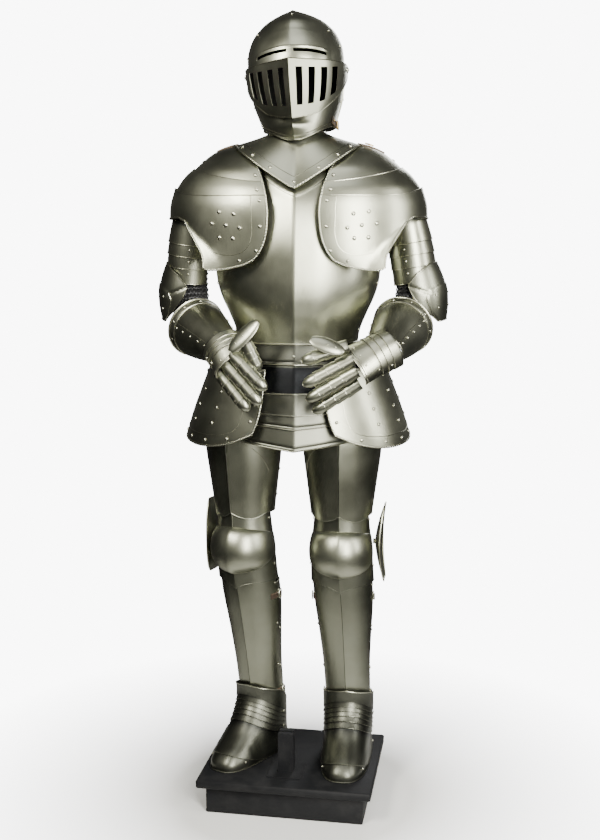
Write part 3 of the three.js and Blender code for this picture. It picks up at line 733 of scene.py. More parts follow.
def make_skull():
    mesh = Mesh(HELMET)
    face, cheek = 91.2, 91.8  # the opening's last column and the first that reaches down to the rim
    edge = [[0, 1838], [44, 1838], [50, 1776], [face, 1766], [cheek, 1635], [180, 1635]]

    def surface(a, t):
        low = np.where(np.abs(a) > (face + cheek) / 2, helmet_rim(a), steps(edge, np.abs(a)))
        return SKULL(a, mix(low, CROWN, t))
    angles = both_sides([0, 44, 50, face, cheek, 180], 4)
    levels = np.sin(np.linspace(0, math.pi / 2, 44)) ** 1.1
    angle_plate(mesh, surface, angles, levels, closed=True)
    tail = [a for a in angles if a >= cheek]
    round_back = np.array(tail + [a for a in angles if a <= -cheek])
    # The rim bar round the back carries a painted highlight.
    tube(mesh, SKULL(round_back, helmet_rim(round_back)), 2.2)
    crown = [(62, 1846), (-64, 1850), (76, 1812), (-78, 1800), (4, 1887)]
    add_rivets(mesh, SKULL, crown + every((104, -104), (1760, 1700)) + every((106, -106), (1650,)), 2.7)
    steel_piece(mesh, "skull", looks=(STEEL, HELMET_INSIDE))


def add_rivets(mesh, shape, places, radius, out=0.0, mirror=1, **options):
    """Rivets at (angle, height) places of a form."""
    angle, z = np.array(places, float).T
    here = shape(angle, z, out)
    ds = shape(angle + 0.5, z, out) - shape(angle - 0.5, z, out)
    dt = shape(angle, z + 0.5, out) - shape(angle, z - 0.5, out)
    studs(mesh, here * mirror, np.cross(ds, dt) * mirror, radius, **options)


def make_brow():
    mesh = Mesh(HELMET)
    sight_end, bridge, slit = 44, 4.5, 7.5  # the sight's outer and inner angle and its height
    low_t, high_t = 0.3, 0.36               # its rows

    def sight(a):
        return 1792 - 9.5 * (np.abs(a) / sight_end) ** 2.2

    def surface(a, t):
        low = steps([[0, 1757], [44, 1760], [BROW_HALF, 1768]], np.abs(a))
        top = 1866 - 15 * (a / BROW_HALF) ** 2
        lower, upper = sight(a), sight(a) + slit
        z = np.select([t < low_t, t < high_t], [mix(low, lower, t / low_t),
                                                mix(lower, upper, (t - low_t) / (high_t - low_t))],
                      mix(upper, top, (t - high_t) / (1 - high_t)))
        edge = np.minimum(BROW_HALF - np.abs(a), 40 * (1 - t))
        return SKULL(a, z, 0.9 + 2.1 * np.clip(edge / 8, 0, 1))

    def relief(a, t):
        above = np.exp(-(((t - 0.405) / 0.018) ** 2)) * 1.6
        fade = 1 / (1 + np.exp((np.abs(a) - sight_end + 1) / 1.2))
        return above * fade

    def hole(a, t):
        return (t > low_t) & (t < high_t) & (np.abs(a) > bridge) & (np.abs(a) < sight_end)
    angles = both_sides([0, bridge, sight_end, BROW_HALF], 2.2)
    angle_plate(mesh, surface, angles, between([0, low_t, high_t, 0.46, 1], 0.018), hole, relief)
    piece("brow_steel", mesh, "brow_plate", looks=(STEEL, HELMET_INSIDE))


def make_visor():
    mesh = Mesh(HELMET)
    slots = [(6.8, 13.6), (20.0, 27.4), (34.5, 42.7), (49.8, 59.3)]  # where each begins and ends, in degrees
    low_t, high_t = 0.2, 0.86

    def surface(a, t):
        low = steps([[0, 1646], [20, 1652], [40, 1662], [60, 1690], [94, 1748]], np.abs(a))
        return VISOR(a, mix(low, 1772, t))

    def open_cell(a, t):
        in_slot = np.any([(np.abs(a) > p) & (np.abs(a) < q) for p, q in slots], axis=0)
        return in_slot & (t > low_t) & (t < high_t)
    angles = both_sides([0, *[edge for slot in slots for edge in slot], 94], 2.0)
    points, normal = angle_plate(mesh, surface, angles, between([0, low_t, high_t, 1], 0.033), open_cell)
    # The border bar carries a painted highlight.
    tube(mesh, border(points, normal, "brtl"), 1.4, 6, closed=True, painted_light_and_wear=0.5)
    steel_piece(mesh, "visor", body="visor", looks=(STEEL, HELMET_INSIDE))


def make_bevor():
    mesh = Mesh(HELMET)

    def top(a):
        return steps([[0, 1661], [40, 1676], [60, 1702], [80, 1744], [89, 1756]], np.abs(a))
    surface = band(BEVOR, -BEVOR_HALF, BEVOR_HALF, helmet_rim, top)
    plate(mesh, surface, 6.0, rim="b", rim_radius=1.9, inside=1)
    a = np.linspace(-88, 88, 90)
    # The bar just above the lower edge carries a painted highlight.
    tube(mesh, BEVOR(a, helmet_rim(a) + 7.5, 0.6), 1.3, 6, painted_light_and_wear=0.5)
    add_rivets(mesh, BEVOR, every((84, -84), (1740, 1690)) + every((80, -80), (1648,)), 2.8)
    steel_piece(mesh, "bevor", looks=(STEEL, HELMET_INSIDE))
    for side, sign in SIDES:
        boss = Mesh(HELMET)
        spot = np.array([sign * 118.6, HELMET_Y, 1762.0])
        # The bolt carries a painted highlight, strongest on its centre.
        studs(boss, spot, (sign, 0, 0), 7.6, height=3.0, sides=18)
        studs(boss, spot + (sign * 2.2, 0, 0), (sign, 0, 0), 3.6, height=2.4, sides=12, painted_light_and_wear=1.0)
        piece(f"visor_bolt_{side}", boss, f"visor_pivot_{side}")


def make_chin_strap():
    """A short strap and buckle that close the bevor to the skull low on the left side."""
    mesh = Mesh(HELMET)
    path, outward = [], []
    start, end, lift = 66, 112, 4.5
    for a in np.linspace(start, end, 12):
        z = 1648 - 10 * math.sin(math.pi * (a - start) / (end - start))
        here = BEVOR(a, z, lift) if a < BEVOR_HALF else SKULL(a, z, lift)
        path.append(here)
        outward.append(here - (0, HELMET_Y, z))
    strap(mesh, path, outward, 15, 2.4)
    piece("chin_strap", mesh, looks=(LEATHER,), slot="leather")
    brass = Mesh(HELMET)
    buckle(brass, path[5], path[6] - path[4], outward[5], 19, 17)
    studs(brass, path[1] + unit(outward[1]) * 0.5, outward[1], 2.4)
    piece("chin_buckle", brass, looks=(BRASS,), slot="brass")


# ---- gorget
def collar(angle, t):
    angle, t = np.broadcast_arrays(np.radians(angle), t)
    side, front = np.sin(angle), np.cos(angle)
    spread_out = t ** 1.2
    top = 1629 - 8 * np.maximum(0, front) + 4 * np.maximum(0, -front)
    low = 1598 - np.where(front > 0, 105, 88) * (1 - np.abs(side) ** 1.15)
    depth = np.where(front > 0, mix(80, 140, spread_out), mix(70, 120, spread_out))
    return stack(side * mix(63, 149, spread_out), -front * depth, mix(top, low, t ** 0.9))


def make_gorget():
    edge = 0.4
    for node, start, end in (("gorget_front", -90 + edge, 90 - edge), ("gorget_back", 90 + edge, 270 - edge)):
        def surface(s, t):
            return collar(mix(start, end, s), 1 - t)
        mesh = Mesh(TORSO)
        plate(mesh, surface, 6.0, rim="b", rim_radius=2.6, rope=ROPE)
        # A thin bar painted dark across the collar: a painted shadow line; the top bar after it carries a
        # painted highlight.
        tube(mesh, surface(np.linspace(0, 1, 120), 0.215), 0.8, 6, painted_light_and_wear=-0.6)
        tube(mesh, surface(np.linspace(0, 1, 70), 1.0), 1.9)
        rivets(mesh, surface, every((0.14, 0.25, 0.37, 0.5, 0.63, 0.75, 0.86), (0.115,)), 4.3, height=2.8)
        steel_piece(mesh, node)


# ---- trunk
TRUNK = upright([
    [880, 212, 170, 156, 176], [901, 209, 168, 154, 174], [949, 197, 161, 148, 166],
    [979, 188, 156, 142, 161], [1029, 173, 149, 132, 153], [1079, 158, 140, 120, 144],
    [1112, 149, 132, 112, 136], [1140, 144, 127, 108, 131], [1170, 148, 131, 110, 135],
    [1210, 164, 140, 114, 144], [1250, 182, 147, 117, 151], [1291, 193, 150, 119, 154],
    [1350, 196, 149, 119, 153], [1400, 190, 143, 117, 147], [1440, 180, 134, 112, 138],
    [1480, 164, 121, 106, 125], [1530, 140, 98, 96, 102], [1566, 112, 78, 80, 80],
])


BREAST_LOW = 1142


def make_trunk():
    seam = 0.4

    def breast_top(a):
        return steps([[0, 1524], [30, 1540], [50, 1560], [64, 1410], [90, 1300]], np.abs(a))

    def collar_line(a):
        return 46 * np.abs(a / 30) ** 1.2

    def collar_ridge(s, t):
        a = mix(-90, 90, s)
        z = mix(BREAST_LOW, breast_top(a), t)
        return 1.3 * np.exp(-(((z - 1479 - collar_line(a)) / 3.2) ** 2))
    mesh = Mesh(TORSO)
    surface = band(TRUNK, -90 + seam, 90 - seam, BREAST_LOW, breast_top)
    plate(mesh, surface, 5.5, relief=collar_ridge, rim="b", rim_radius=2.4)
    marks = (-30, -20, -10, -4, 0, 4, 10, 20, 30)
    # A thin bar painted near black below the collar ridge: a painted shadow line.
    bead(mesh, TRUNK, [(a, 1475 + collar_line(a)) for a in marks], painted_light_and_wear=-0.8)
    add_rivets(mesh, TRUNK, every((-80, 80), (1170, 1280)), 3.3)
    steel_piece(mesh, "breastplate")

    def back_top(a):
        return steps([[0, 1540], [50, 1560], [64, 1410], [90, 1300]], np.abs(a - 180))

    def spine(s, t):
        return -2.2 * np.exp(-(((mix(90, 270, s) - 180) / 5) ** 2)) * np.sin(np.pi * t) ** 0.5
    mesh = Mesh(TORSO)
    surface = band(TRUNK, 90 + seam, 270 - seam, BREAST_LOW, back_top)
    plate(mesh, surface, 7.0, relief=spine, rim="b", rim_radius=2.4)
    add_rivets(mesh, TRUNK, every((100, 260), (1170, 1280)), 3.3)
    steel_piece(mesh, "backplate")


# From the waist down: lower and upper edge, steps inwards, rise to the sides, painted shade that darkens the
# hoop.
HOOPS = [(1096, 1139, 0, 0, -0.8), (1079, 1106, 1, 0, -0.85), (1030, 1090, 0, 0, -1.0),
         (980, 1042, 1, 0.15, -0.75), (948, 992, 2, 0.3, -0.7), (899, 960, 3, 0.45, -0.65)]


def make_fauld():
    for i, (low, high, inwards, lift, hoop_shade) in enumerate(HOOPS):
        surface = band(TRUNK, -88, 88, lambda a: low + lift * np.abs(a), lambda a: high + lift * np.abs(a),
                       -inwards * STEP)
        mesh = Mesh(TORSO)
        line = ("b", 7, 0.8) if i in (0, 4, 5) else None
        # Each hoop is darkened with painted shade.
        plate(mesh, surface, 6.0, line, rim="b", rim_radius=1.8, marks={"t": (0, 2)}, painted_light_and_wear=hoop_shade)
        rivets(mesh, surface, every((0.03, 0.16, 0.84, 0.97), (0.5,)) + [(0.5, 0.45)] * (i == 0), 3.0)
        steel_piece(mesh, f"fauld_{i + 1}")
    for i, (low, high, out) in enumerate([(1040, 1139, 0), (950, 1052, -STEP)]):
        mesh = Mesh(TORSO)
        surface = band(TRUNK, 92, 268, low, high, out)
        plate(mesh, surface, 6.0, ("b", 8, 0.8), rim="b", rim_radius=1.9)
        # The bar along the culet's middle carries a painted highlight.
        tube(mesh, surface(np.linspace(0, 1, 90), 0.5), 1.6, 6, painted_light_and_wear=0.4)
        rivets(mesh, surface, every((0.04, 0.18, 0.82, 0.96), (0.28, 0.74)), 3.0)
        steel_piece(mesh, f"culet_{i + 1}")


TASSET = upright([
    [900, 272, 176, 150], [930, 267, 174, 150], [985, 250, 169, 146],
    [1030, 233, 163, 140], [1085, 212, 155, 130],
])


def make_tassets():
    high, outer = 1084, 100
    for side, sign in SIDES:
        def surface(s, t):
            s, t = np.broadcast_arrays(s, t)
            across = s if sign > 0 else 1 - s
            low = strip([[0, 938], [0.1, 918], [0.25, 906], [0.45, 904], [0.8, 916], [1, 935]], across)
            z = mix(low, high, t)
            inner = strip([[904, 27], [940, 21], [1000, 18], [high, 18]], z)
            return TASSET(sign * mix(inner, outer, across), z)
        mesh = Mesh(TORSO)
        plate(mesh, surface, 6.0, rim="brtl", rim_radius=2.4, rope=ROPE)
        line = [(0.13, 0.99), (0.125, 0.7), (0.12, 0.4), (0.125, 0.24), (0.16, 0.165), (0.24, 0.145),
                (0.45, 0.145), (0.7, 0.145), (0.97, 0.15)]
        s, t = np.moveaxis(through(line, 90), -1, 0)
        # The border line is a thin bar with a mild painted highlight.
        tube(mesh, surface(s if sign > 0 else 1 - s, t), 0.8, 6, painted_light_and_wear=0.3)
        places = every((0.045, 0.955), (0.25, 0.5, 0.75)) + every((0.16, 0.36, 0.58, 0.8), (0.075,))
        places += every((0.2, 0.5, 0.8), (0.93,)) + every((0.36, 0.62), (0.3, 0.5, 0.7))
        rivets(mesh, surface, [(s if sign > 0 else 1 - s, t) for s, t in places], 4.2, height=2.8)
        steel_piece(mesh, f"tasset_{side}")


# ---- shoulders
PAULDRON = form([
    [1296, 136, 0, 164, 148, 116], [1321, 104, 0, 198, 154, 122], [1345, 80, 0, 222, 158, 126],
    [1380, 64, 0, 240, 160, 128], [1432, 58, 0, 246, 160, 128], [1462, 60, 0, 242, 157, 126],
    [1487, 64, 0, 231, 149, 121], [1504, 68, 0, 221, 141, 116], [1530, 77, 0, 193, 124, 104],
    [1543, 84, 0, 172, 112, 96], [1562, 95, 0, 134, 86, 78], [1580, 106, 0, 90, 55, 52],
    [1590, 118, 0, 46, 26, 26], [1594, 130, 0, 11, 2, 2],
])


def seam_main(angle):
    return 1476 + 25 * np.sin(np.radians(angle)) ** 6


def seam_cap(angle):
    return 1500 + 39 * np.maximum(0, np.sin(np.radians(angle))) ** 1.5


def make_pauldrons():
    wing = [[0, 1332], [0.015, 1322], [0.05, 1315], [0.115, 1309], [0.135, 1314], [0.29, 1421], [0.33, 1430],
            [0.67, 1430], [0.74, 1410], [0.93, 1312], [0.985, 1316], [1, 1328]]
    fold_start, fold_end, fold_low, fold_slope = 14.5, 52, 1309, 2.99  # the turned-out corner of a wing
    under_collar = 11                                                 # rise of the cap towards the collar
    plates = (
        ("main", lambda a: steps(wing, a / 180), seam_main, 0),
        ("lame", lambda a: seam_main(a) - 10, lambda a: seam_cap(a) + 10, -STEP),
        ("cap", seam_cap, lambda a: 1593.0 + 0 * a, -2 * STEP),
    )
    main_rivets = every((3.5, 177), (1464,)) + [(3.4, 1407), (2.0, 1353), (8, 1331), (178, 1400), (174, 1340)]
    spots = {"main": main_rivets, "lame": every((4.5, 175), (1489,)),
             "cap": every((4, 175), (1522,)) + [(88, 1562)]}
    cluster = [(18, 1435), (26.5, 1440), (14.3, 1404), (22.3, 1410), (31, 1414), (17.5, 1381), (25.6, 1383)]
    front_line = [(8.2, 1474), (8.3, 1430), (7.4, 1388), (8.2, 1358), (12, 1346), (18, 1344), (25, 1348),
                  (34, 1356)]
    back_line = [(171, 1474), (172, 1388), (168, 1350), (155, 1345)]
    for side, sign in SIDES:
        mirror = np.array([sign, 1, 1])
        for name, low, high, out in plates:
            def surface(s, t):
                s, t = np.broadcast_arrays(s, t)
                angle = 180 * (s if sign > 0 else 1 - s)
                z = mix(low(angle), high(angle), t)
                rise = out + under_collar * t ** 1.2 if name == "cap" else out
                p = PAULDRON(angle, z, rise)
                if name == "main":
                    crease = fold_low + fold_slope * (angle - fold_start)
                    bent = 0.6 * np.clip(crease - z, 0, 30) * (angle > fold_start) * (angle < fold_end)
                    p = p + np.stack([bent, -0.5 * bent, 0.15 * bent], axis=-1)
                return p * mirror + stack(0, 0, rise)
            mesh = Mesh(TORSO)
            big = name == "main"
            points, _ = plate(mesh, surface, 5.0, rim="lbr" if big else "l" if sign > 0 else "r",
                              rim_radius=2.4 if big else 2.2, rope=ROPE, marks={"t": (0, 1)})
            # The bar along the top edge carries a painted highlight.
            tube(mesh, points[-1], 1.0 if big else 0.9, 6, painted_light_and_wear=0.5)
            if big:
                for line in (front_line, back_line):
                    bead(mesh, PAULDRON, line, mirror=mirror)
                add_rivets(mesh, PAULDRON, cluster, 5.0, mirror=mirror, height=3.2)
            add_rivets(mesh, PAULDRON, spots[name], 4.2, out=out, mirror=mirror, height=2.8)
            steel_piece(mesh, f"pauldron_{name}_{side}")


# ---- arms
UPPER_ARM = upright([[0, 50, 50, 50], [60, 51.5, 51.5, 51.5], [130, 52.5, 52.5, 52.5],
                  [205, 46, 46, 46]])
COUTER = upright([[-52, 58, 58, 58], [-14, 67, 67, 67], [26, 70, 70, 70], [66, 63, 63, 63],
               [88, 56, 56, 56]])
CUFF = upright([[0, 45, 39, 39], [20, 46, 41, 41], [60, 53, 50, 50], [110, 63, 62, 62],
             [165, 71, 70, 70]])


def lames(mesh, surface, cuts, stand, overlap, rim_radius, exposed="b", pitch=5.0, **options):
    """Overlapping lames over one surface, cut at the given t. The exposed edge of each stands out with a
    painted highlight on its bar, and painted shade darkens the steel where the next one covers it."""
    for low, high in zip(cuts, cuts[1:]):
        start, end = (low, min(1, high + overlap)) if exposed == "b" else (max(0, low - overlap), high)

        def part(s, t):
            return surface(s, mix(start, end, t))

        def lift(s, t):
            return stand * ((1 - t) if exposed == "b" else t)

        def lame_edge_shade(s, t):
            return -0.85 * np.exp(-(((t if exposed == "t" else 1 - t) / 0.14) ** 2)) + 0 * s
        points, _ = plate(mesh, part, pitch, relief=lift, painted_light_and_wear=lame_edge_shade, **options)
        tube(mesh, points[0] if exposed == "b" else points[-1], rim_radius, 6, painted_light_and_wear=0.5)


def make_rerebrace(side, upper):
    mesh = Mesh(upper)
    reach, low = 138, 48
    surface = band(UPPER_ARM, -reach, reach, low, 196)
    lames(mesh, surface, (0, 0.24, 0.43, 0.62, 1), 2.4, 0.05, 0.9, marks={"l": (0, 2), "r": (0, 2)})
    tube(mesh, UPPER_ARM(np.linspace(-reach, reach, 70), low, 1.6), 1.6)
    rivets(mesh, surface, every((0.2, 0.8), (0.16, 0.35, 0.54)), 3.0, lift=1.2)
    steel_piece(mesh, f"rerebrace_{side}")


def make_couter(side, upper):
    """A shell-shaped cap with a folded wing in front and behind, whose edge is a sharp V."""
    reach = [[-50, 26], [-24, 52], [16, 74], [44, 82], [68, 60], [86, 22]]
    cop = [[-50, 24], [-30, 40], [6, 50], [24, 44], [34, 20]]

    def height(t):
        return mix(-50, 86, t)

    def surface(s, t):
        z = height(t)
        wrap = steps(reach, z)
        return COUTER(mix(-wrap, wrap, s), z)

    def folds(s, t):
        z = height(t)
        turn = np.abs(2 * s - 1) * steps(reach, z)
        over = 1 / (1 + np.exp((turn - steps(cop, z)) / 1.1)) * (z < 34)
        crease = 21 + (turn - 44) * 0.6
        fold = np.exp(-(((z - crease) / 3.0) ** 2)) * (turn > 40)
        return 1.9 * over - 2.4 * fold
    mesh = Mesh(upper)
    # The rims carry a painted highlight and the shell painted shade; the V lines below carry a painted highlight
    # too.
    plate(mesh, surface, 3.0, relief=folds, rim="brtl", rim_radius=1.5, painted_light_and_wear_level=0.5, painted_light_and_wear=-0.35)
    for way in (-1, 1):
        line = [(way * a, z) for a, z in ((24, -49), (40, -30), (50, 6), (44, 24))]
        bead(mesh, COUTER, line, 1.2, 0.9, painted_light_and_wear=0.6)
        add_rivets(mesh, COUTER, [(way * 30, 12), (way * 26, -18)], 2.8, out=1.8)
    steel_piece(mesh, f"couter_{side}")


def make_cuff(side, sign, forearm):
    """A funnel with a border line and a riveted seam."""
    mesh = Mesh(forearm)
    length, inset = 165, 22
    plate(mesh, band(CUFF, -180, 180, 0, length), 5.0, ("t", inset, 1.0), closed=True)
    turn = np.linspace(-180, 180, 91)[:-1]
    # The bars at both ends, the border line and the seam line carry painted highlights.
    tube(mesh, CUFF(turn, length, 0), 2.4, closed=True)
    tube(mesh, CUFF(turn, length - inset - 1, 0.2), 0.9, 6, closed=True, painted_light_and_wear=0.4)
    tube(mesh, CUFF(np.linspace(-180, 180, 61)[:-1], 2, 0), 1.6, closed=True)
    places = every(range(-162, 180, 36), (153,)) + every((62 * sign,), (20, 48, 78, 108, 134))
    add_rivets(mesh, CUFF, places + every((-70 * sign,), (24, 60, 98)), 3.0)
    tube(mesh, CUFF(52 * sign, np.linspace(4, 142, 40), 0.1), 0.9, 6, painted_light_and_wear=0.3)
    steel_piece(mesh, f"gauntlet_cuff_{side}")


def gutter(start, end, top, widths, rises, wrap, tip=False):
    """The surface of a half-round plate between two points and the frame that it lies in."""
    length = float(np.linalg.norm(np.subtract(end, start)))

    def surface(s, t):
        s, t = np.broadcast_arrays(s, t)
        angle = np.radians(mix(-wrap, wrap, s))
        shrink = np.sqrt(np.clip(1 - np.clip((t - 0.80) / 0.2, 0, 0.985) ** 2, 0, 1)) if tip else 1.0
        wide, rise = mix(*widths, t) * shrink, mix(*rises, t) * shrink
        return stack(np.sin(angle) * wide, -np.cos(angle) * rise, t * length)
    return surface, aimed(start, end, top)


def make_hand(side, sign):
    wrist, knuckle = (np.array(ARM[side][k], float) for k in ("wrist", "knuckle"))
    back = (0.05 * sign, -0.8, 0.6)
    length = float(np.linalg.norm(knuckle - wrist))
    start, end = -0.30 * length, 0.95 * length
    hand = upright([[start, 49, 43, 40], [0.05 * length, 48, 40, 34], [0.5 * length, 49, 34, 22],
                    [end, 51, 28, 16]])
    surface = band(hand, -104, 104, start, end)
    mesh = Mesh(aimed(wrist, knuckle, back))
    lames(mesh, surface, (0, 0.22, 0.38, 0.54, 1), 2.2, 0.05, 0.8, "t", 4.0)
    # The bar across the knuckle end carries a painted highlight.
    tube(mesh, surface(np.linspace(0.05, 0.95, 40), 0.93) + (0, -2.0, 0), 2.6, painted_light_and_wear=0.4)
    places = every((0.16, 0.84), (0.30,)) + every((0.2, 0.8), (0.62,)) + every((0.35, 0.5, 0.65), (0.84,))
    rivets(mesh, surface, places, 2.6, lift=1.8)
    steel_piece(mesh, f"hand_plate_{side}")
    for name, (base, tip) in FINGERS[side].items():
        base, tip = np.array(base, float), np.array(tip, float)
        surface, place = gutter(mix(base, tip, -0.12), tip, back, (15, 13), (13, 11.5), 108, tip=True)
        mesh = Mesh(place)
        lames(mesh, surface, (0, 0.3, 0.53, 0.76, 1), 2.6, 0.06, 0.6, "t", 3.2, wall=1.0,
              marks={k: (0, 1) for k in "lrbt"})
        rivets(mesh, surface, every((0.24, 0.76), (0.24, 0.47, 0.70)), 1.5, height=1.1, lift=1.8, sides=6)
        steel_piece(mesh, f"finger_{name}_{side}")
    base, tip = (np.array(p, float) for p in THUMB[side])
    surface, place = gutter(mix(base, tip, -0.15), mix(base, tip, 1.05), back, (18, 19), (8, 5), 80)

    def leaf(s, t):
        s, t = np.broadcast_arrays(s, t)
        wide = np.sqrt(np.clip(1 - ((t - 0.5) / 0.53) ** 2, 0.03, 1))
        return surface(s, t) * np.stack([wide, wide, np.ones_like(wide)], axis=-1)
    mesh = Mesh(place)
    plate(mesh, leaf, 3.0, rim="brtl", rim_radius=1.2, marks={k: (0, 1.5) for k in "lrbt"})
    rivets(mesh, leaf, [(0.5, 0.25), (0.5, 0.5)], 2.2)
    steel_piece(mesh, f"thumb_{side}")


def sleeve_line(side):
    arm = {key: np.array(place, float) for key, place in ARM[side].items()}
    stops = [mix(arm["shoulder"], arm["elbow"], k) for k in (-0.05, 0.4, 0.8)]
    stops += [mix(arm["elbow"], arm["rim"], 0.55), mix(arm["rim"], arm["wrist"], 0.3)]
    return [[k / 4, *p] for k, p in enumerate(stops)]


def sleeve_surface(side, out=0.0):
    """The sleeve's skin over s (round) and t (from shoulder to wrist)."""
    line = sleeve_line(side)

    def surface(s, t):
        s, t = np.broadcast_arrays(s, t)
        centre = along(line, t)
        tangent = unit(along(line, t + 0.004) - along(line, t - 0.004))
        first = unit(np.array([1.0, 0, 0]) - tangent * tangent[..., :1])
        second = np.cross(tangent, first)
        radius = strip([[0, 36], [0.3, 43], [0.55, 43], [1, 36]], t) + out
        radius = radius + 0.9 * np.sin(2 * np.pi * (3 * s + 2.1 * t)) * np.sin(np.pi * t)
        turn = 2 * np.pi * s
        x, y = (np.cos(turn) * radius)[..., None], (np.sin(turn) * radius)[..., None]
        return centre + first * x + second * y
    return surface


def make_sleeve(side):
    """The sleeve's backing cloth, with interlinked rings sewn over it in offset rows."""
    surface = sleeve_surface(side)
    mesh = Mesh(FIGURE)
    points = surface(*np.meshgrid(np.linspace(0, 1, 61), np.linspace(0, 1, 81)))
    shell(mesh, points, normals(points, closed=True), closed=True)
    cloth = piece(f"sleeve_cloth_{side}", mesh, f"mail_sleeve_{side}", looks=(CLOTH,), slot="mail")

    mesh = Mesh(FIGURE)
    length = run(surface(np.zeros(60), np.linspace(0, 1, 60)))[-1]
    row_pitch, stand = 7.2, 1.5
    around, rows, radius, wire = 30, int(length / row_pitch), 5.0, 0.95  # rings in a row, rows, a ring's sizes
    major, minor = 8, 3                                                  # its corners, along and across the wire
    ring = np.linspace(0, 2 * np.pi, major, endpoint=False)
    thick = np.linspace(0, 2 * np.pi, minor, endpoint=False)
    flat = np.stack([np.outer(np.cos(ring), radius + wire * np.cos(thick)),
                     np.outer(np.sin(ring), radius + wire * np.cos(thick)),
                     np.outer(np.ones(major), wire * np.sin(thick))], axis=-1).reshape(-1, 3)
    ids = np.arange(major * minor).reshape(major, minor)
    nxt, over = np.roll(ids, -1, axis=0), np.roll(ids, -1, axis=1)
    quads = np.stack([ids, nxt, np.roll(nxt, -1, axis=1), over], axis=-1).reshape(-1, 4)
    for row in range(rows):
        s = (np.arange(around) + 0.5 * (row % 2)) / around
        t = np.full(around, (row + 0.5) / rows)
        spots, outward = on_surface(sleeve_surface(side, stand), np.stack([s, t], axis=-1))
        along_arm = unit(sleeve_surface(side)(s, t + 0.004) - sleeve_surface(side)(s, t - 0.004))
        outward = -outward if np.dot(outward[0], spots[0] - along(sleeve_line(side), t)[0]) < 0 else outward
        lean = unit(outward + 0.45 * (-1) ** row * along_arm)
        first = unit(np.cross(along_arm, lean))
        second = np.cross(lean, first)
        axes = (first, second, lean)
        rings = spots[:, None] + sum(flat[:, k:k + 1] * way[:, None] for k, way in enumerate(axes))
        many = (quads[None] + (np.arange(around) * len(flat))[:, None, None]).reshape(-1, 4)
        mesh.add(rings.reshape(-1, 3), [many])
    rings = piece(f"sleeve_mail_{side}", mesh, looks=(MAIL,), slot="mail", sharp=80)


def make_arms():
    for side, sign in SIDES:
        arm = ARM[side]
        upper = aimed(arm["elbow"], arm["shoulder"], (sign, -0.35, 0))
        make_rerebrace(side, upper)
        make_couter(side, upper)
        make_cuff(side, sign, aimed(arm["wrist"], arm["rim"], (0, -0.6, 1)))
        make_hand(side, sign)
        make_sleeve(side)


# ---- legs
def leg_form(side, levels):
    """A form round the leg's own middle line, turned out with the leg."""
    leg = LEG[side]
    knee, ankle, hip = (np.array(leg[k], float) for k in ("knee", "ankle", "hip"))
    shape = upright(levels)
    c, s = math.cos(math.radians(leg["yaw"])), math.sin(math.radians(leg["yaw"]))
    calf = mix(ankle, knee, np.array([0.5, 0.62]))
    line = [[215, *ankle], [440, *calf], [620, *knee], [900, *hip]]

    def turned_shape(angle, z, out=0.0):
        p = shape(angle, z, out)
        middle = along(line, p[..., 2])
        return stack(middle[..., 0] + p[..., 0] * c - p[..., 1] * s,
                     middle[..., 1] + p[..., 0] * s + p[..., 1] * c, p[..., 2])
    return turned_shape


def make_cuisse(side, sign):
    thigh = leg_form(side, [[700, 72, 70, 64, 76], [800, 85, 80, 76, 86], [880, 95, 88, 84, 94],
                            [930, 97, 90, 86, 96]])

    def low(a):
        return 724 - 12 * np.sin(np.radians(np.minimum(np.abs(a) * 2.6, 180))) + 4 * np.exp(-np.abs(a) / 6)

    def high(a):
        return 926 - 34 * np.exp(-(((a + sign * 80) / 50) ** 2))

    mesh = Mesh(FIGURE)
    surface = band(thigh, -125, 125, low, high)
    # The rims are painted dark with painted shade, the bead down the front middle is painted near black as a
    # painted shadow line, and the side line carries a mild painted highlight.
    plate(mesh, surface, 5.0, rim="brtl", rim_radius=1.2, painted_light_and_wear_level=-0.45)
    bead(mesh, thigh, every((0,), (728, 800, 880, 924)), 0.3, 1.0, painted_light_and_wear=-0.7)
    line = [(sign * a, z) for a, z in ((-4, 912), (-22, 904), (-40, 886), (-56, 860), (-68, 830))]
    bead(mesh, thigh, line, radius=0.7)
    rivets(mesh, surface, every((0.03, 0.97), (0.2, 0.55, 0.88)), 3.2)
    steel_piece(mesh, f"cuisse_{side}")


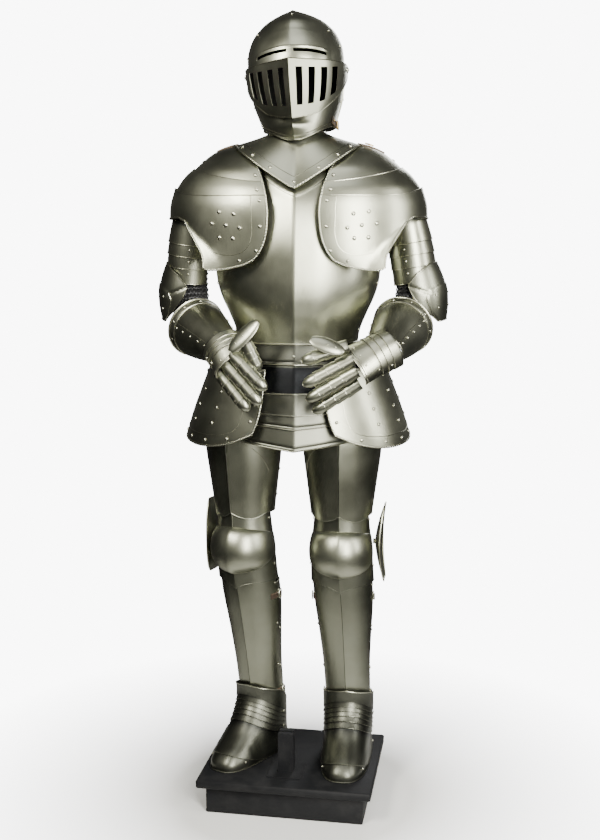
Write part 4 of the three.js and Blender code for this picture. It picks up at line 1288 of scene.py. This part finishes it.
def make_poleyn(side):
    """The knee's ball with a lame above it and one below, all in one piece."""
    knee = leg_form(side, [[530, 79, 73, 70, 78.5], [574, 78, 74, 66, 79.5], [632, 76, 76, 66, 76],
                           [690, 70, 69, 64, 72], [735, 66, 65, 60, 71]])
    reach, foot, head = 96, 574, 690  # half the angle round the knee, and the ball's lowest and highest point

    def low(a):
        return foot + 42 * (1 - np.cos(np.radians(a)))

    def high(a):
        return head - 20 * (1 - np.cos(np.radians(a)))

    def hem(a):
        return 534 + 18 * (1 - np.exp(-np.abs(a) / 16))

    def ball(s, t):
        a = mix(-reach, reach, s)
        front = np.maximum(0, np.cos(np.radians(a)))
        bulge = (1 + 30 * front ** 1.5) * np.sqrt(np.clip(1 - (2 * t - 1) ** 2, 0, 1))
        return knee(a, mix(low(a), high(a), t), bulge)
    mesh = Mesh(FIGURE)
    # Painted shade darkens the lames, their lower rim, the beads down the front and the ball; the upper lame's
    # top rim has no painted light.
    under = band(knee, -reach, reach, hem, lambda a: low(a) + 5, -0.6)
    plate(mesh, under, 5.0, rim="b", rim_radius=0.8, painted_light_and_wear_level=-0.6, painted_light_and_wear=-0.35)
    over = band(knee, -reach, reach, lambda a: high(a) - 5, 735, -0.6)
    plate(mesh, over, 5.0, rim="t", rim_radius=1.2, painted_light_and_wear_level=0.0, painted_light_and_wear=-0.5)
    bead(mesh, knee, every((0,), (688, 705, 732)), radius=0.9, painted_light_and_wear=-0.3)
    round_edge = (0, 1, 2.5, 5)
    plate(mesh, ball, 5.0, painted_light_and_wear=-0.15, marks={"b": round_edge, "t": round_edge})
    add_rivets(mesh, knee, every((-84, 84), (592, 708)), 3.0)
    steel_piece(mesh, f"poleyn_{side}")


def make_knee_wing(side, sign):
    """A shallow oval shell beside the knee, dished in the middle and bent outwards to its ends."""
    knee_x, knee_y = LEG[side]["knee"]
    c, d = math.cos(math.radians(LEG[side]["yaw"])), math.sin(math.radians(LEG[side]["yaw"]))
    away = 92 if side == "l" else 84
    half_wide, half_tall = 56, 93

    def surface(s, t):
        s, t = np.broadcast_arrays(s, t)
        across = s if sign > 0 else 1 - s
        height = mix(-1, 1, t)
        reach = half_wide * np.sqrt(1 - 0.82 * height * height)
        y = mix(-reach, reach, across) + 6
        dish = np.maximum(0, 1 - np.hypot((y - 6) / half_wide, height))
        bow = 13 * height * height + 5 * (y / half_wide) ** 2 - (away - 82.5) * dish
        x = sign * (away + bow)
        return stack(knee_x + x * c - y * d, knee_y + x * d + y * c, 650 + half_tall * height)

    mesh = Mesh(FIGURE)
    plate(mesh, surface, 4.0, rim="brtl", rim_radius=1.9)
    centre, outward = on_surface(surface, [(0.5, 0.5)])
    # The boss carries a mild painted highlight.
    tube(mesh, [centre[0] - outward[0] * 6, centre[0] + outward[0] * 1.5], 6.5, 16, painted_light_and_wear=0.3)
    studs(mesh, centre + outward * 1.5, outward, 5.0, height=3.0, sides=14)
    steel_piece(mesh, f"knee_wing_{side}")


def make_greaves(side, sign):
    shin = leg_form(side, [[212, 56, 55, 54, 58], [260, 57, 56, 55, 59], [330, 59, 58, 60, 61],
                           [410, 65, 61, 69, 65], [500, 73, 66, 76, 70], [560, 73, 67, 70, 71],
                           [600, 68, 62, 60, 66]])
    low, high, seam, turn = 214, 566, 0.2, np.linspace(-89, 89, 60)
    beside_seams = every((0.035, 0.965), (0.05, 0.3, 0.62, 0.93))
    front = Mesh(FIGURE)
    surface = band(shin, -90 + seam, 90 - seam, low, high)
    # The front plate is darkened with painted shade, its bead down the front middle is painted near black as a
    # painted shadow line, and the bars at its ends carry a painted highlight.
    plate(front, surface, 6.0, painted_light_and_wear=-0.3)
    bead(front, shin, every((0,), (220, 330, 440, 560)), 0.3, 1.0, painted_light_and_wear=-0.7)
    for edge in (low + 1, high - 1):
        tube(front, shin(turn, edge, 0.2), 1.7)
    rivets(front, surface, beside_seams, 2.8)
    steel_piece(front, f"greave_front_{side}")
    back = Mesh(FIGURE)
    surface = band(shin, 90 + seam, 270 - seam, low, 540)
    plate(back, surface, 6.0, rim="t", rim_radius=1.7)
    rivets(back, surface, beside_seams, 2.8)
    steel_piece(back, f"greave_back_{side}")
    for end, z in (("low", 246), ("high", 508)):
        hinge = Mesh(FIGURE)
        outer = 90 * sign
        path = shin(outer + np.linspace(-15, 15, 9), z, 1.4)
        strap(hinge, path, path - shin(outer, z, -40), 14, 1.6)
        tube(hinge, shin(outer, z + np.array([-8, 0, 8]), 2.4), 2.6)
        ends = outer + np.array([-11, 11])
        studs(hinge, shin(ends, z, 2.6), shin(ends, z, 40) - shin(ends, z), 2.2, height=1.4)
        piece(f"greave_hinge_{end}_{side}", hinge)
        reach = -outer + np.linspace(-24, 24, 13)
        path, facing = shin(reach, z, 1.8), shin(reach, z, 40) - shin(reach, z)
        leather = Mesh(FIGURE)
        strap(leather, path, facing, 13, 2.2)
        piece(f"greave_strap_{end}_{side}", leather, looks=(LEATHER,), slot="leather")
        brass = Mesh(FIGURE)
        buckle(brass, path[7], path[8] - path[6], facing[7], 18, 15)
        piece(f"greave_buckle_{end}_{side}", brass)


SOLE = 89.4
SHOE = form([
    [SOLE, 0, 0, 60, 196, 62, 196, 2.9], [104, 0, 0, 61, 196, 63, 196, 2.9], [118, 0, 0, 60, 187, 63, 187, 2.7],
    [131, 0, 0, 59, 172, 62, 172, 2.5], [146, 0, 0, 60, 148, 62, 148, 2.3], [164, 0, 0, 61, 122, 62, 122, 2.2],
    [190, 0, 0, 61.5, 96, 62, 96, 2.1], [215, 0, 0, 62, 79, 61, 79, 2], [245, 0, -5, 62, 66, 61, 66, 2],
    [275, 0, -10, 63, 63, 62, 63, 2],
])


def shoe_top(a):
    return steps([[0, 272], [50, 262], [85, 250], [104, 240], [124, 210], [180, 208]], np.abs(a))


def across_foot(height):
    """An edge that crosses the instep at the given height and falls to both sides."""
    return lambda a: np.minimum(height - 45 * (1 - np.cos(np.radians(a))), shoe_top(a) - 1.5)


def make_sabaton(side):
    """Heel, toe and ankle plates with the lames between them, darkened with painted shade."""
    leg = LEG[side]
    mesh = Mesh(FIGURE @ moved(*leg["ankle"], 0) @ turned(leg["foot_yaw"], "z"))
    # dark is painted shade over the whole foot; each lame is darker still under the edge above it, and the lame
    # edges and the sole bar are painted dark too.
    reach, inner, dark = 102, -0.6, -0.76
    heel = band(SHOE, reach - 8, 368 - reach, SOLE, lambda a: shoe_top(np.minimum(a, 360 - a)), -0.8)
    plate(mesh, heel, 8.0, rim="t", rim_radius=1.8, painted_light_and_wear=dark)
    cuts = (127, 186, 199, 210, 221, 232, 244)
    ankle = band(SHOE, -reach, reach, across_foot(cuts[-1]), shoe_top, 1.8)
    plate(mesh, ankle, 7.0, rim="t", rim_radius=1.6, painted_light_and_wear_level=0.1, marks={"b": (0, 1)}, painted_light_and_wear=dark)
    for low, high in zip(cuts, cuts[1:]):
        part = band(SHOE, -reach, reach, across_foot(low), across_foot(high + 3), inner)
        points, _ = plate(mesh, part, 7.0, relief=lambda s, t: 2.4 * (1 - t), marks={"b": (0, 1), "t": (0, 1)},
                          painted_light_and_wear=lambda s, t: -0.72 - 0.26 * np.exp(-(((1 - t) / 0.2) ** 2)) + 0 * s)
        tube(mesh, points[0], 0.7, 6, painted_light_and_wear=-0.45)
    toe = band(SHOE, -reach, reach, SOLE, lambda a: np.maximum(across_foot(cuts[0] + 3)(a), SOLE + 2), inner)
    plate(mesh, toe, 6.0, marks={"t": (0, 1)}, painted_light_and_wear=dark)
    tube(mesh, SHOE(np.linspace(-180, 180, 140)[:-1], SOLE + 1.6, 0.6), 1.5, 6, closed=True, painted_light_and_wear=-0.6)
    add_rivets(mesh, SHOE, every((-92, 92), (112, 150, 190)) + every((-46, 46), (108,)), 3.0, out=1.4)
    steel_piece(mesh, f"sabaton_{side}")


def make_legs():
    for side, sign in SIDES:
        make_cuisse(side, sign)
        make_poleyn(side)
        make_knee_wing(side, sign)
        make_greaves(side, sign)
        make_sabaton(side)


# ---- straps
def make_shoulder_straps():
    """The strap on top of each shoulder that hangs the pauldron; the left one shows its buckle."""
    tips = {"l": ((184, 1590), (202, 1581)), "r": ((178, 1592), (190, 1587))}
    for side, sign in SIDES:
        stops = ((140, 1603), (152, 1600.5), (166, 1596.5), *tips[side])
        path = np.array([(sign * x, -6, z) for x, z in stops], float)
        outward = [(sign * 0.2, -0.1, 1)] * 5
        leather = Mesh(TORSO)
        strap(leather, path, outward, 17, 2.8)
        piece(f"shoulder_strap_{side}", leather, looks=(LEATHER,), slot="leather")
        if side == "l":
            brass = Mesh(TORSO)
            buckle(brass, path[2], path[3] - path[1], outward[2], 22, 18)
            piece("shoulder_buckle_l", brass, looks=(BRASS,), slot="brass")


# ---- plinth
def block(mesh, low, high, bevel):
    """A box with bevelled edges, as a stack of rounded rings with flat ends."""
    low, high = np.array(low, float), np.array(high, float)
    middle, half = (low + high) / 2, (high - low) / 2

    def ring(inset, z):
        x, y = half[0] - inset, half[1] - inset
        a, b = x - bevel, y - bevel
        corner = [(a, -y), (x, -b), (x, b), (a, y), (-a, y), (-x, b), (-x, -b), (-a, -y)]
        return [(middle[0] + p, middle[1] + q, z) for p, q in corner]
    rings = [ring(bevel, low[2]), ring(0, low[2] + bevel), ring(0, high[2] - bevel), ring(bevel, high[2])]
    ids, quads = ring_quads(4, 8)
    mesh.add(rings, [quads, ids[3:], ids[:1, ::-1]])


def make_plinth():
    mesh = Mesh()
    low, high = PLINTH_LOW, PLINTH_HIGH
    step, board = np.array([20, 20, 0]), 20
    block(mesh, low + step, high - step - (0, 0, board - 1), 2.0)
    block(mesh, (low[0], low[1], high[2] - board), high, 2.4)
    piece("plinth_board", mesh, "plinth", looks=(PAINT,), slot="plinth_black", sharp=50)
    mesh = Mesh()
    low, high = REST_LOW, REST_HIGH
    slot, drop, bevel = 10, 60, 0.7
    cheek = (high[1] - low[1] - slot) / 2
    outline = np.array([(low[1], low[2]), (high[1], low[2]), (high[1], high[2]), (high[1] - cheek, high[2]),
                        (high[1] - cheek, high[2] - drop), (low[1] + cheek, high[2] - drop),
                        (low[1] + cheek, high[2]), (low[1], high[2])])
    inward = np.array([(1, 1), (-1, 1), (-1, -1), (1, -1), (1, -1), (-1, -1), (1, -1), (1, -1)], float)
    rings = [[(x, *p) for p in outline + inward * inset] for x, inset in (
        (low[0], bevel), (low[0] + bevel, 0), (high[0] - bevel, 0), (high[0], bevel))]
    ids, sides = ring_quads(4, 8)
    ends = [ids[0][[0, 5, 4, 1]], ids[0][[1, 4, 3, 2]], ids[0][[0, 7, 6, 5]],
            ids[3][[1, 4, 5, 0]], ids[3][[2, 3, 4, 1]], ids[3][[5, 6, 7, 0]]]
    mesh.add(rings, [sides, np.array(ends)])
    centre = (low + high) / 2
    foot = np.array([42, 44, 0])
    block(mesh, (*(centre - foot)[:2], GROUND + 0.1), (*(centre + foot)[:2], GROUND + 2.2), 0.8)
    piece("sword_rest_block", mesh, "sword_rest", looks=(PAINT,), slot="plinth_black", sharp=30)


# ---- studio
def make_floor():
    """A pale sheet of paper that fades out into the white round it."""
    data = bpy.data.meshes.new("floor")
    data.from_pydata([(-2, -2, 0), (2, -2, 0), (2, 2, 0), (-2, 2, 0)], [], [(0, 1, 2, 3)])
    floor = bpy.data.objects.new("floor", data)
    bpy.context.scene.collection.objects.link(floor)
    n = material("floor_paper")
    n.link(n.mixed(n.noise(3.0), (0.86, 0.86, 0.85), (0.90, 0.90, 0.89)), "Base Color")
    n.fix(Roughness=0.9)
    reach = n.add("ShaderNodeVectorMath", {0: n.place}, operation="LENGTH").outputs["Value"]
    n.link(n.span(reach, 1.0, 0.0, 0.3, 1.05), "Alpha")
    data.materials.append(n.owner)


def make_world():
    """White to the camera; to the steel a studio that is bright in front and dark at the sides and back."""
    n = Nodes(bpy.data.worlds.new("studio"))
    direction = n.add("ShaderNodeTexCoord").outputs["Generated"]
    towards = n.add("ShaderNodeSeparateXYZ", {"Vector": direction}).outputs
    ramp = n.add("ShaderNodeValToRGB", {"Fac": n.span(towards["Y"], 0, 1, 1, -1)})
    stops = ramp.color_ramp.elements
    stops[0].color, stops[1].color = (0.10, 0.10, 0.10, 1), (0.17, 0.169, 0.152, 1)
    for at, grey in ((0.25, 0.026), (0.55, 0.010), (0.80, 0.045)):
        stops.new(at).color = (grey, grey, grey * 1.04, 1)
    above_floor = n.span(towards["Z"], 0.35, 1.0, -0.35, 0.05)
    studio = n.add("ShaderNodeBackground", {"Color": ramp.outputs["Color"], "Strength": above_floor})
    pale = n.add("ShaderNodeBackground", Color=(1, 1, 1, 1), Strength=9.0)
    seen = n.add("ShaderNodeLightPath").outputs["Is Camera Ray"]
    both = {1: studio.outputs["Background"], 2: pale.outputs["Background"]}
    choose = n.add("ShaderNodeMixShader", {"Fac": seen, **both})
    n.tree.links.new(choose.outputs["Shader"], n.tree.nodes["World Output"].inputs["Surface"])
    bpy.context.scene.world = n.owner


def area_light(name, place, target, size, power, tint=(1, 1, 1)):
    light = bpy.data.lights.new(name, "AREA")
    light.shape = "RECTANGLE"
    light.size, light.size_y = size
    light.energy = power
    light.color = tint
    obj = bpy.data.objects.new(name, light)
    bpy.context.scene.collection.objects.link(obj)
    look_from(place, target, obj)


def make_lights():
    area_light("key", (1650, -2650, 1900), (0, 0, 1150), (0.9, 2.4), 215, (1.0, 0.98, 0.90))
    area_light("side", (2900, -900, 2000), (0, 0, 1100), (0.5, 2.0), 60, (1.0, 0.985, 0.92))
    area_light("fill", (-1150, -2350, 3050), (0, 0, 1250), (0.6, 1.3), 115, (1.0, 0.97, 0.86))
    area_light("top", (300, -900, 3700), (0, 0, 1200), (1.2, 1.2), 12)
    area_light("rear", (600, 2900, 2300), (0, 0, 1000), (0.9, 2.0), 45)


# ---- assembly
make_skull()
make_brow()
make_visor()
make_bevor()
make_chin_strap()
make_gorget()
make_trunk()
make_fauld()
make_tassets()
make_pauldrons()
make_arms()
make_legs()
make_shoulder_straps()
make_plinth()
make_floor()
make_world()
make_lights()
